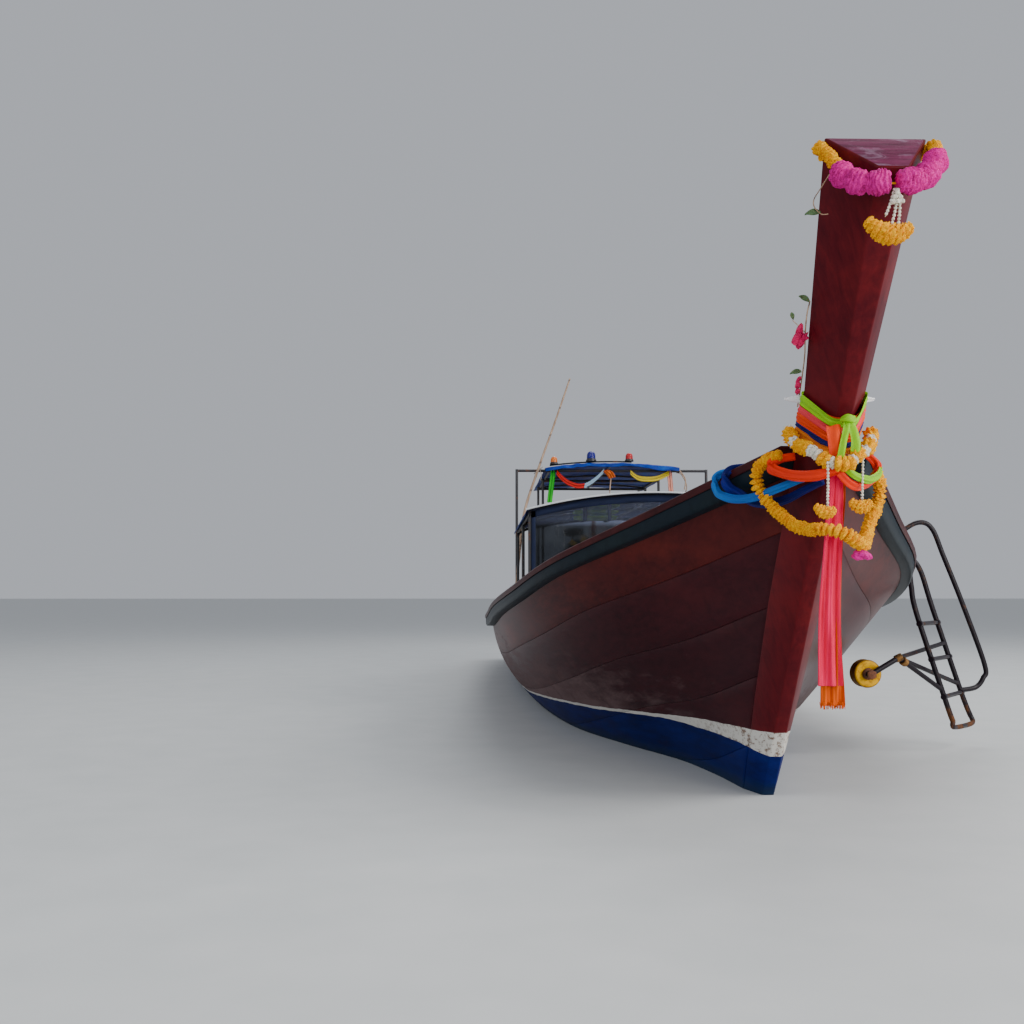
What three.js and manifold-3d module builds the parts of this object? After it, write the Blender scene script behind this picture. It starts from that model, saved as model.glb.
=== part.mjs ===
// Longtail boat: a planked wooden hull with a tall raked stem post, two canopies, a bow ladder,
// and an engine that swivels on the stern with its propeller at the end of a long tail tube.
// Millimetres. +X points to the bow, +Y to port, +Z up. The origin is on the waterline amidships.

import * as THREE from 'three';
import { mergeVertices } from 'three/addons/utils/BufferGeometryUtils.js';
import Module from 'manifold-3d';

const wasm = await Module();
wasm.setup();

// Driving dimensions
const bowFoot = 5200; // front edge of the stem, on the waterline
const gap = 0.4; // clearance between touching pieces
const plankThick = 28;
const railHeight = 68;
const railThick = 62;
const railTopThick = 18;
const capThick = 28;
const capInside = 104; // how far the gunwale cap reaches in over the planks
const ribDepth = 48;
const ribWidth = 46;
const stemSlope = 1.274; // rise of the stem's front edge for each millimetre forward

// Hull sections from the stem to the transom. Each lies in a plane that leans forward with the stem.
// aft: distance behind the stem foot at the waterline. lean: forward shift for each millimetre of height.
// rail, sheer: half-breadth and height of the rub rail's lower outer edge. water: half-breadth afloat.
// keel, keelHalf: bottom of the planks. turn: height of the bilge's control point.
const sections = [
  { aft: 172, lean: 0.785, rail: 165, sheer: 1345, water: 72, keel: -140, keelHalf: 60, turn: 420 },
  { aft: 600, lean: 0.62, rail: 540, sheer: 1162, water: 116, keel: -270, keelHalf: 52, turn: 300 },
  { aft: 1100, lean: 0.47, rail: 900, sheer: 986, water: 205, keel: -330, keelHalf: 48, turn: 150 },
  { aft: 1700, lean: 0.33, rail: 1092, sheer: 842, water: 400, keel: -355, keelHalf: 46, turn: -20 },
  { aft: 2500, lean: 0.18, rail: 1190, sheer: 752, water: 620, keel: -370, keelHalf: 46, turn: -90 },
  { aft: 3400, lean: 0.08, rail: 1222, sheer: 676, water: 740, keel: -375, keelHalf: 46, turn: -120 },
  { aft: 4500, lean: 0.02, rail: 1234, sheer: 624, water: 815, keel: -375, keelHalf: 46, turn: -125 },
  { aft: 6000, lean: 0, rail: 1226, sheer: 600, water: 850, keel: -368, keelHalf: 46, turn: -125 },
  { aft: 7500, lean: 0, rail: 1180, sheer: 602, water: 835, keel: -340, keelHalf: 46, turn: -120 },
  { aft: 9000, lean: -0.05, rail: 1085, sheer: 635, water: 760, keel: -270, keelHalf: 46, turn: -90 },
  { aft: 10400, lean: -0.12, rail: 950, sheer: 690, water: 640, keel: -165, keelHalf: 46, turn: -40 },
];
const stations = [172, 350, 600, 850, 1100, 1400, 1750, 2100, 2500, 2950, 3400, 4000, 4800,
  5800, 6800, 7600, 8400, 9100, 9800, 10400];
const strakeEdges = [0, 0.23, 0.44, 0.63, 0.82, 1]; // shares of the girth from keel to sheer
const strakeNames = ['garboard', 'bottom', 'bilge', 'topside', 'sheer'];

// Materials
const finish = (color, roughness, metalness = 0) => (
  new THREE.MeshStandardMaterial({ color, roughness, metalness }));
const varnish = finish(0x5a2320, 0.35);
const stemVarnish = finish(0x8a3426, 0.3);
const bottomPaint = finish(0x163a86, 0.45);
const railPaint = finish(0x1c2a26, 0.4);
const capWood = finish(0x54382a, 0.6);
const innerWood = finish(0x7b5a3c, 0.7);
const deckWood = finish(0x8d6a48, 0.65);
const darkSteel = finish(0x26221f, 0.5, 0.6);
const paleSteel = finish(0x8f9499, 0.45, 0.8);
const engineIron = finish(0x3d5a4c, 0.55, 0.4);
const bronze = finish(0xa9824a, 0.35, 0.9);
const blueCloth = finish(0x1f4f9c, 0.9);
const clearSheet = finish(0xbfd0d2, 0.1);
const bamboo = finish(0xa58355, 0.6);
const yellowPlastic = finish(0xd9b12a, 0.4);
const orangeCloth = finish(0xe8702a, 0.9);
const limeCloth = finish(0xb4c43c, 0.85);
const marigold = finish(0xf2a516, 0.9);
const pinkCloth = finish(0xe23a5c, 0.85);

const boat = new THREE.Group();

// Solids

function toManifold(geometry) {
  const plain = geometry.clone();
  plain.deleteAttribute('normal');
  plain.deleteAttribute('uv');
  const merged = mergeVertices(plain, 1e-3);
  return new wasm.Manifold(new wasm.Mesh({
    numProp: 3,
    vertProperties: new Float32Array(merged.attributes.position.array),
    triVerts: new Uint32Array(merged.index.array),
  }));
}

function toGeometry(solid) {
  const mesh = solid.getMesh();
  const geometry = new THREE.BufferGeometry();
  geometry.setAttribute('position', new THREE.BufferAttribute(new Float32Array(mesh.vertProperties), 3));
  geometry.setIndex(new THREE.BufferAttribute(new Uint32Array(mesh.triVerts), 1));
  return geometry;
}

const join = (...pieces) => pieces.map(toManifold).reduce((whole, piece) => whole.add(piece));

function addPiece(name, shape, material, parent = boat) {
  const geometry = shape.isBufferGeometry ? shape : toGeometry(shape);
  const mesh = new THREE.Mesh(geometry, material);
  mesh.name = name;
  parent.add(mesh);
  return mesh;
}

// A closed body through rings of points, which all have the same count. Endless rings join last to first.
function loft(rings, endless = false) {
  const count = rings[0].length;
  const points = rings.flat();
  const faces = [];
  for (let r = 0; r < rings.length - (endless ? 0 : 1); r += 1) {
    for (let i = 0; i < count; i += 1) {
      const next = ((r + 1) % rings.length) * count;
      const a = r * count + i;
      const b = r * count + ((i + 1) % count);
      const c = next + ((i + 1) % count);
      const d = next + i;
      if (points[a].distanceTo(points[c]) < points[b].distanceTo(points[d])) faces.push(a, b, c, a, c, d);
      else faces.push(a, b, d, b, c, d);
    }
  }
  const ends = endless ? [] : [[rings[0], 0, true], [rings.at(-1), (rings.length - 1) * count, false]];
  for (const [ring, start, front] of ends) {
    const centre = ring.reduce((sum, p) => sum.add(p), new THREE.Vector3()).divideScalar(count);
    const normal = new THREE.Vector3();
    ring.forEach((p, i) => {
      const next = ring[(i + 1) % count].clone().sub(centre);
      normal.add(p.clone().sub(centre).cross(next));
    });
    normal.normalize();
    const across = ring[0].clone().sub(centre).normalize();
    const up = normal.clone().cross(across);
    const flat = ring.map((p) => {
      const arm = p.clone().sub(centre);
      return new THREE.Vector2(arm.dot(across), arm.dot(up));
    });
    for (const [i, j, k] of THREE.ShapeUtils.triangulateShape(flat, [])) {
      const face = [start + i, start + j, start + k];
      faces.push(...(front ? face.reverse() : face));
    }
  }
  const geometry = new THREE.BufferGeometry().setFromPoints(points);
  geometry.setIndex(faces);
  if (signedVolume(geometry) < 0) {
    for (let i = 0; i < faces.length; i += 3) [faces[i], faces[i + 1]] = [faces[i + 1], faces[i]];
    geometry.setIndex(faces);
  }
  return geometry;
}

// Signed volume of an indexed geometry, times six
function signedVolume(geometry) {
  const position = geometry.attributes.position;
  const corner = (i) => new THREE.Vector3().fromBufferAttribute(position, geometry.index.getX(i));
  let volume = 0;
  for (let i = 0; i < geometry.index.count; i += 3) {
    volume += corner(i).dot(corner(i + 1).cross(corner(i + 2)));
  }
  return volume;
}

const box = (length, width, height, x, y, z) => (
  new THREE.BoxGeometry(length, width, height).translate(x, y, z));

// A box given by its lowest and highest corners
function slab(low, high) {
  const size = high.map((v, i) => v - low[i]);
  return box(...size, ...low.map((v, i) => v + size[i] / 2));
}

function rod(from, to, radius, sides = 10) {
  const start = new THREE.Vector3(...from);
  const way = new THREE.Vector3(...to).sub(start);
  const geometry = new THREE.CylinderGeometry(radius, radius, way.length(), sides);
  geometry.translate(0, way.length() / 2, 0);
  const turn = new THREE.Quaternion().setFromUnitVectors(new THREE.Vector3(0, 1, 0), way.clone().normalize());
  geometry.applyQuaternion(turn);
  return geometry.translate(start.x, start.y, start.z);
}

// A bar of round section along a smooth curve through the points
function bentBar(points, radius, steps, sides = 8, tension = 0.4) {
  const stops = points.map((p) => new THREE.Vector3(...p));
  const path = new THREE.CatmullRomCurve3(stops, false, 'catmullrom', tension);
  const section = new THREE.Shape().absarc(0, 0, radius, 0, Math.PI * 2);
  return new THREE.ExtrudeGeometry(section, { steps, extrudePath: path, curveSegments: sides / 2 });
}

const mirrorY = (geometry) => {
  const copy = geometry.clone().scale(1, -1, 1);
  const faces = Array.from(copy.index.array);
  for (let i = 0; i < faces.length; i += 3) [faces[i], faces[i + 1]] = [faces[i + 1], faces[i]];
  copy.setIndex(faces);
  return copy;
};

// Hull form

// A smooth value along the hull from one column of the sections
function column(name, aft) {
  const last = sections.length - 1;
  let i = sections.findIndex((row) => row.aft > aft) - 1;
  if (i < 0) i = aft <= sections[0].aft ? 0 : last - 1;
  const slope = (k) => {
    const low = sections[Math.max(k - 1, 0)];
    const high = sections[Math.min(k + 1, last)];
    return (high[name] - low[name]) / (high.aft - low.aft);
  };
  const span = sections[i + 1].aft - sections[i].aft;
  const t = (aft - sections[i].aft) / span;
  const hermite = [2 * t ** 3 - 3 * t ** 2 + 1, t ** 3 - 2 * t ** 2 + t,
    3 * t ** 2 - 2 * t ** 3, t ** 3 - t ** 2];
  return hermite[0] * sections[i][name] + hermite[1] * span * slope(i)
    + hermite[2] * sections[i + 1][name] + hermite[3] * span * slope(i + 1);
}

// One section as a quadratic curve from keel to sheer, with points at even shares of its girth
function hullSection(aft) {
  const names = ['lean', 'rail', 'sheer', 'water', 'keel', 'keelHalf', 'turn'];
  const [lean, rail, sheer, water, keel, keelHalf, turn] = names.map((name) => column(name, aft));
  const topZ = sheer + railHeight;
  let topY = rail - railThick;
  let control = 0;
  for (let pass = 0; pass < 6; pass += 1) {
    const square = keel - 2 * turn + topZ;
    const linear = 2 * (turn - keel);
    const root = Math.sqrt(linear ** 2 - 4 * square * keel);
    const t = Math.abs(square) < 1e-6 ? -keel / linear : (root - linear) / (2 * square);
    control = (water - keelHalf * (1 - t) ** 2 - topY * t ** 2) / (2 * t * (1 - t));
    topY = rail - railThick + railHeight * (topY - control) / (topZ - turn);
  }
  const curve = new THREE.QuadraticBezierCurve(
    new THREE.Vector2(keelHalf, keel), new THREE.Vector2(control, turn), new THREE.Vector2(topY, topZ));
  curve.arcLengthDivisions = 100;
  const girth = curve.getLength();
  // Point at a distance along the girth, moved inward by the given offset. The top edge is cut level.
  const at = (along, inward) => {
    const share = Math.min(Math.max(along / girth, 0), 1);
    const point = curve.getPointAt(share);
    const tangent = curve.getTangentAt(share);
    const isTop = along > girth - 1;
    const y = point.x - (isTop ? inward / tangent.y : tangent.y * inward);
    const z = point.y + (isTop ? 0 : tangent.x * inward);
    return new THREE.Vector3(bowFoot - aft + lean * z, y, z);
  };
  return { at, girth, lean };
}
const hull = stations.map(hullSection);

// Places along the girth of one strake's points.
// The sheer strake has one more, under the rub rail's lower edge.
function strakeStops(section, i, seam) {
  const low = strakeEdges[i] * section.girth + seam;
  const high = strakeEdges[i + 1] * section.girth - seam;
  if (i < strakeNames.length - 1) return [low, (low + high) / 2, high];
  const railEdge = section.girth - railHeight - 4;
  return [low, (low + railEdge) / 2, railEdge, high];
}

// Outline of the planks' outside at one station, from keel to sheer
const outline = (section) => strakeNames
  .flatMap((name, i) => strakeStops(section, i, 0).slice(i === 0 ? 0 : 1))
  .map((stop) => section.at(stop, 0));

// Outline of their inside, where each plank is flat, moved inward by a clearance
const innerOutline = (section, clearance) => strakeEdges
  .map((share) => section.at(share * section.girth, plankThick + clearance));

// The space inside the planks, moved inward by a clearance
function insideHull(clearance) {
  return toManifold(loft(hull.map((section) => {
    const half = innerOutline(section, clearance);
    const port = half.map((p) => new THREE.Vector3(p.x, Math.max(p.y, 4), p.z));
    const lid = port.at(-1).clone();
    lid.z += 60;
    lid.x += 60 * section.lean;
    port.push(lid);
    const starboard = port.map((p) => new THREE.Vector3(p.x, -p.y, p.z)).reverse();
    return [...port, ...starboard];
  })));
}
const fitInside = insideHull(gap);
const fitInsideRibs = insideHull(ribDepth + gap);

strakeNames.forEach((name, i) => {
  const rings = hull.map((section) => {
    const stops = strakeStops(section, i, gap / 2);
    const inside = [stops.at(-1), stops[0]].map((stop) => section.at(stop, plankThick));
    return [...stops.map((stop) => section.at(stop, 0)), ...inside];
  });
  const port = loft(rings);
  addPiece(`${name}_strake_port`, port, i < 2 ? bottomPaint : varnish);
  addPiece(`${name}_strake_starboard`, mirrorY(port), i < 2 ? bottomPaint : varnish);
});

// Rub rail outside the sheer strake, and the gunwale cap on top of both
const railRings = hull.map((section) => {
  const lift = (p, outward, up = 0) => new THREE.Vector3(p.x + up * section.lean, p.y + outward, p.z + up);
  const innerStops = strakeStops(section, strakeNames.length - 1, 0).slice(2);
  const inner = innerStops.map((stop) => section.at(stop, -2 * gap));
  const outer = Math.max(inner[0].y + railThick, inner[1].y + railTopThick) - inner[1].y;
  return [inner[0], inner[1], lift(inner[1], outer - 4), lift(inner[1], outer + 2, -12),
    lift(inner[0], railThick, 10), lift(inner[0], railThick - 6)];
});
const capRings = hull.map((section, i) => {
  const top = section.at(section.girth, 0);
  const place = (y, z) => new THREE.Vector3(top.x + section.lean * (z - top.z), y, z);
  const low = top.z + gap;
  const inside = Math.max(top.y - capInside, 12);
  const outside = railRings[i][3].y;
  return [place(inside, low), place(outside, low), place(outside + 8, low + 9),
    place(outside, low + capThick), place(inside, low + capThick)];
});
const edgings = [
  { name: 'rub_rail', rings: railRings, material: railPaint },
  { name: 'gunwale_cap', rings: capRings, material: capWood },
];
for (const { name, rings, material } of edgings) {
  const port = loft(rings);
  addPiece(`${name}_port`, port, material);
  addPiece(`${name}_starboard`, mirrorY(port), material);
}

// Stem post: a wedge with a narrow front face, from the forefoot to the flared head.
// Each row gives the front edge (x ahead of the stem foot, height) and the aft or upper edge,
// with half widths.
const aheadOf = (z) => z / stemSlope;
const underPlanks = (i, back) => [hull[i].at(0, 0).x - bowFoot - back, hull[i].at(0, 0).z - 8];
const stemRows = [
  { front: [-800, -372], back: underPlanks(2, -2), frontHalf: 30, backHalf: 40 },
  { front: [-430, -345], back: underPlanks(1, 0), frontHalf: 28, backHalf: 44 },
  { front: [-210, -255], back: underPlanks(0, -2), frontHalf: 27, backHalf: 56 },
  { front: [aheadOf(-120), -120], back: [aheadOf(-120) - 171, -120], frontHalf: 26, backHalf: 62 },
  { front: [0, 0], back: [-171, 0], frontHalf: 26, backHalf: 72 },
  { front: [aheadOf(450), 450], back: [aheadOf(450) - 171, 450], frontHalf: 27, backHalf: 98 },
  { front: [aheadOf(870), 870], back: [aheadOf(870) - 171, 870], frontHalf: 28, backHalf: 112 },
  { front: [aheadOf(1490), 1490], back: [aheadOf(1490) - 171, 1490], frontHalf: 28, backHalf: 108 },
  { front: [aheadOf(1600), 1600], back: [aheadOf(1600) - 184, 1600], frontHalf: 29, backHalf: 112 },
  { front: [1735, 2214], back: [1571, 2369], frontHalf: 50, backHalf: 168 },
];
addPiece('stem_post', loft(stemRows.map(({ front, back, frontHalf, backHalf }) => {
  const x = (ahead) => bowFoot + ahead;
  return [
    new THREE.Vector3(x(front[0]), frontHalf, front[1]), new THREE.Vector3(x(back[0]), backHalf, back[1]),
    new THREE.Vector3(x(back[0]), -backHalf, back[1]), new THREE.Vector3(x(front[0]), -frontHalf, front[1]),
  ];
})), stemVarnish);

// Keel timber under the planks, with a tongue between the garboards, from the forefoot to the transom
const keelDeep = 84;
addPiece('keel', loft(hull.slice(2).map((section) => {
  const edge = section.at(0, 0);
  const inside = section.at(0, plankThick);
  const half = [[inside.y - 2 * gap, inside.z - gap / 2], [edge.y - 2 * gap, edge.z - gap],
    [edge.y + 12, edge.z - gap], [edge.y - 4, edge.z - keelDeep]];
  const place = (y, z) => new THREE.Vector3(edge.x + section.lean * (z - edge.z), y, z);
  return [...half.map(([y, z]) => place(y, z)), ...half.reverse().map(([y, z]) => place(-y, z))];
})), bottomPaint);

// Transom across the plank ends
const transomThick = 46;
const sternSection = hull.at(-1);
const transomRing = (shift) => {
  const port = outline(sternSection).map((p) => new THREE.Vector3(p.x - shift, p.y, p.z));
  return [...port, ...port.map((p) => new THREE.Vector3(p.x, -p.y, p.z)).reverse()];
};
addPiece('transom', loft([transomRing(gap), transomRing(gap + transomThick)]), varnish);

// Gunwale cap at one place along the boat: its inner and outer edges and its top
function gunwaleAt(x) {
  const i = capRings.findIndex((ring, k) => k > 0 && ring[4].x <= x);
  const [before, after] = [capRings[i - 1], capRings[i]];
  const t = (x - before[4].x) / (after[4].x - before[4].x);
  const blend = (corner, axis) => THREE.MathUtils.lerp(before[corner][axis], after[corner][axis], t);
  return { inner: blend(4, 'y'), outer: blend(3, 'y'), top: blend(4, 'z') };
}

// Decks and floors. Each is a level or sloping layer that is cut to the hull's inside.
const soleTop = -75;
const soleThick = 24;
const soleFore = 1860;
const platformTop = 305;
const platformFore = -1850;
const platformAft = -4880;
const boardThick = 26;
const foredeckAft = 1880;
const foredeckFore = 5500;
const foredeckLow = 560; // top of its aft edge
const foredeckRise = 0.108; // rise for each millimetre forward
const beamAft = 5140;
const beamFore = 4960;
const beamTop = 745;
const beamHeight = 145;

const wide = 1300;
const slopeDeck = (low, high, margin = 0) => {
  const top = (x) => foredeckLow + foredeckRise * (x - foredeckAft);
  const ring = (x) => [[-wide, low], [wide, low], [wide, high], [-wide, high]]
    .map(([y, shift]) => new THREE.Vector3(x, y, top(x) + shift));
  return toManifold(loft([ring(foredeckAft - margin), ring(foredeckFore + margin)]));
};
const level = (aft, fore, low, high) => toManifold(slab([aft, -wide, low], [fore, wide, high]));

addPiece('foredeck', fitInside.intersect(slopeDeck(-boardThick, 0)), deckWood);
const innerFit = insideHull(ribDepth + 2 * gap);
addPiece('sole_boards', innerFit.intersect(level(-4700, soleFore, soleTop - soleThick, soleTop)), deckWood);
const platformLow = platformTop - boardThick;
const platformLayer = level(platformAft, platformFore, platformLow, platformTop);
addPiece('aft_platform', innerFit.intersect(platformLayer), deckWood);
addPiece('aft_bulkhead', innerFit.intersect(
  level(platformFore - 40, platformFore - 16, soleTop + gap, platformLow - gap)), innerWood);
const beamLow = beamTop - beamHeight;
addPiece('engine_beam', fitInside.intersect(level(-beamAft, -beamFore, beamLow, beamTop)), innerWood);

// Thwarts rest on the risers. x: middle of the seat, width: fore and aft.
const riserLow = 196;
const riserHigh = 268;
const thwartThick = 30;
const thwartTop = riserHigh + gap + thwartThick;
const thwarts = [
  { x: 1320, width: 260 },
  { x: 660, width: 260 },
  { x: -60, width: 260 },
  { x: -860, width: 380 },
  { x: -1560, width: 240 },
];
thwarts.forEach(({ x, width }, i) => {
  const seat = innerFit.intersect(level(x - width / 2, x + width / 2, riserHigh + gap, thwartTop));
  addPiece(`thwart_${i + 1}`, seat, deckWood);
});

// Ribs with floor timbers, the keelson and the risers, which are one framework
const ribPlaces = [4150, 3400, 2650, 1760, 990, 300, -420, -1260, -2050, -2850, -3650, -4450];
const ribSlabs = ribPlaces
  .map((x) => level(x - ribWidth / 2, x + ribWidth / 2, -600, 1500))
  .reduce((all, rib) => all.add(rib));
const ribs = fitInside.intersect(ribSlabs).subtract(fitInsideRibs);
const underSole = level(-4700, soleFore, -600, soleTop - soleThick - gap);
const floors = fitInside.intersect(ribSlabs).intersect(underSole);
const keelsonHeight = 62;
const keelsonBar = fitInside.intersect(toManifold(slab([-4700, -60, -600], [4300, 60, 1500])));
const keelson = keelsonBar.subtract(fitInside.translate([0, 0, keelsonHeight]));
const risers = insideHull(ribDepth - 6)
  .intersect(level(-1860, 1860, riserLow, riserHigh))
  .subtract(insideHull(ribDepth + 28));
const capVoid = loft(capRings.map((ring) => ring.map((p, k) => {
  const isInside = k === 0 || k === 4;
  return new THREE.Vector3(p.x, p.y - (isInside ? 3 : 0), p.z - 3);
})));
const deckVoid = slopeDeck(-boardThick - gap, gap, 30);
const platformVoid = level(platformAft - gap, platformFore + gap, platformLow - gap, platformTop + gap);
const beamVoid = level(-beamAft - gap, -beamFore + gap, beamLow - gap, beamTop + gap);
const framework = ribs.add(floors).add(keelson).add(risers)
  .subtract(toManifold(capVoid)).subtract(toManifold(mirrorY(capVoid)))
  .subtract(deckVoid).subtract(level(-6000, 6000, 1180, 1600)).subtract(beamVoid);
// Rib ends cut off above the foredeck are left out
const lowerFramework = framework.decompose().sort((a, b) => b.volume() - a.volume())[0];
addPiece('frames', lowerFramework.subtract(platformVoid.intersect(innerFit)), innerWood);

// Front canopy: three hoops of steel tube with rails, a curved roof, and a clear sheet across its front
const tubeRadius = 14;
const railRadius = 11;
const roofThick = 12;
const frontHoopX = 2020;
const hoopPlate = 38; // radius of a hoop's foot plate
const frontCanopy = {
  hoops: [
    { x: frontHoopX, foot: foredeckLow + foredeckRise * (frontHoopX + hoopPlate - foredeckAft) },
    { x: 660, foot: thwartTop },
    { x: -730, foot: thwartTop },
  ],
  postY: 925,
  eaveZ: 1478,
  crownZ: 1596,
  roofFore: 2085,
  roofAft: -800,
  roofHalf: 958,
};
const aftCanopy = {
  hoops: [
    { x: -950, foot: thwartTop, postY: 930 },
    { x: -2000, foot: platformTop, postY: 620 },
    { x: -3000, foot: platformTop, postY: 620 },
  ],
  barZ: 2084,
  battenY: 600,
  crownZ: 2140,
  roofCrown: 2150.7,
  roofEave: 2105.7,
  roofFore: -860,
  roofAft: -3560,
  roofHalf: 655,
};

// Height of a shallow arch over the boat's middle line
const arch = (crown, eave, half, y) => crown - (crown - eave) * (y / half) ** 2;

function archedBar(x, crown, eave, half, radius, sides = 8) {
  const points = [-1, -0.67, -0.33, 0, 0.33, 0.67, 1]
    .map((share) => [x, share * half, arch(crown, eave, half, share * half)]);
  return bentBar(points, radius, 6, sides);
}

function archedRoof({ roofFore, roofAft, roofHalf }, crown, eave) {
  const shares = [-1, -0.75, -0.5, -0.25, 0, 0.25, 0.5, 0.75, 1];
  const curve = (x, lift) => shares.map((share) => new THREE.Vector3(
    x, share * roofHalf, arch(crown, eave, roofHalf, share * roofHalf) + lift));
  return loft([roofFore, roofAft].map((x) => [...curve(x, 0), ...curve(x, roofThick).reverse()]));
}

{
  const { hoops, postY, eaveZ, crownZ } = frontCanopy;
  const bars = [];
  for (const { x, foot } of hoops) {
    for (const side of [-1, 1]) {
      bars.push(rod([x, side * postY, foot + gap], [x, side * postY, eaveZ], tubeRadius, 8));
      bars.push(rod([x, side * postY, foot + gap], [x, side * postY, foot + gap + 8], hoopPlate, 10));
    }
    bars.push(archedBar(x, crownZ, eaveZ, postY, tubeRadius));
  }
  for (const y of [-postY, -postY * 0.5, 0, postY * 0.5, postY]) {
    const z = arch(crownZ, eaveZ, postY, y);
    bars.push(rod([hoops[0].x, y, z], [hoops.at(-1).x, y, z], railRadius, 8));
  }
  addPiece('front_canopy_frame', join(...bars), darkSteel);
}
const frontRoofSeat = tubeRadius + gap + 1.4;
const frontRoof = { crown: frontCanopy.crownZ + frontRoofSeat, eave: frontCanopy.eaveZ + frontRoofSeat - 6 };
addPiece('front_canopy_roof', archedRoof(frontCanopy, frontRoof.crown, frontRoof.eave), blueCloth);

// Clear sheet hung from the front hoop, on its forward side
const sheetThick = 5;
{
  const { postY, eaveZ, crownZ, hoops } = frontCanopy;
  const shape = new THREE.Shape();
  const half = postY - 8;
  const low = 690;
  shape.moveTo(-half, low);
  shape.lineTo(half, low);
  for (const share of [1, 0.67, 0.33, 0, -0.33, -0.67, -1]) {
    shape.lineTo(share * half, arch(crownZ, eaveZ, postY, share * half) + 4);
  }
  const pane = new THREE.ExtrudeGeometry(shape, { depth: sheetThick, bevelEnabled: false });
  pane.rotateZ(Math.PI / 2).rotateY(Math.PI / 2).translate(hoops[0].x + tubeRadius + gap, 0, 0);
  addPiece('front_clear_sheet', toManifold(pane), clearSheet);
}

// Life vests stowed under the front canopy's roof, hung from one of its rails
const vests = { length: 300, width: 330, height: 130, x: 1790, y: -430 };
{
  const { crownZ, eaveZ, postY } = frontCanopy;
  const top = arch(crownZ, eaveZ, postY, postY * 0.5) - railRadius - gap;
  const { length, width, height, x, y } = vests;
  addPiece('life_vests', box(length, width, height, x, y, top - height / 2), limeCloth);
}

// Aft canopy: posts with straight cross bars, arched bows and a low tarpaulin roof
{
  const { hoops, barZ, battenY, crownZ } = aftCanopy;
  const bars = [];
  for (const { x, foot, postY } of hoops) {
    for (const side of [-1, 1]) {
      bars.push(rod([x, side * postY, foot + gap], [x, side * postY, barZ + tubeRadius], tubeRadius, 8));
      bars.push(rod([x, side * postY, foot + gap], [x, side * postY, foot + gap + 8], 27, 10));
    }
    bars.push(rod([x, -postY, barZ], [x, postY, barZ], tubeRadius, 8));
    bars.push(archedBar(x, crownZ, barZ + 12, battenY + 30, 10));
  }
  for (const y of [-battenY, 0, battenY]) {
    const z = arch(crownZ, barZ + 12, battenY + 30, y);
    bars.push(rod([hoops[0].x + 40, y, z], [hoops.at(-1).x - 500, y, z], 10, 8));
  }
  addPiece('aft_canopy_frame', join(...bars), darkSteel);
  addPiece('aft_canopy_roof', archedRoof(aftCanopy, aftCanopy.roofCrown, aftCanopy.roofEave), blueCloth);
}

// Three lamps on a batten along the aft roof's front edge
{
  const { roofCrown, roofEave, roofHalf, roofFore } = aftCanopy;
  const x = roofFore - 40;
  const seat = (y) => arch(roofCrown, roofEave, roofHalf, y) + roofThick + gap;
  const batten = bentBar([-610, -400, -200, 0, 220].map((y) => [x, y, seat(y) + 7.7]), 8, 8, 6);
  const profile = [[0, 0], [46, 0], [46, 22], [38, 26], [38, 58], [26, 84], [0, 92]];
  const places = [{ y: -568, size: 0.85 }, { y: -205, size: 1.1 }, { y: 167, size: 0.92 }];
  const lamps = places.map(({ y, size }) => {
    const lamp = new THREE.LatheGeometry(profile.map(([r, h]) => new THREE.Vector2(r * size, h * size)), 12);
    return lamp.rotateX(Math.PI / 2).translate(x, y, seat(y) + 10.7);
  });
  addPiece('roof_lamps', join(batten, ...lamps), yellowPlastic);
}

// Bamboo pole that leans on the aft canopy's front bar, with its foot on the widest thwart
addPiece('bamboo_pole', bentBar([[-962, thwartTop + 1], [-935, 900], [-905, 1300],
  [-850, 1700], [-710, 2130], [-560, 2550], [-409, 2990]].map(([y, z]) => [-918.6, y, z]), 17, 14), bamboo);

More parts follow.
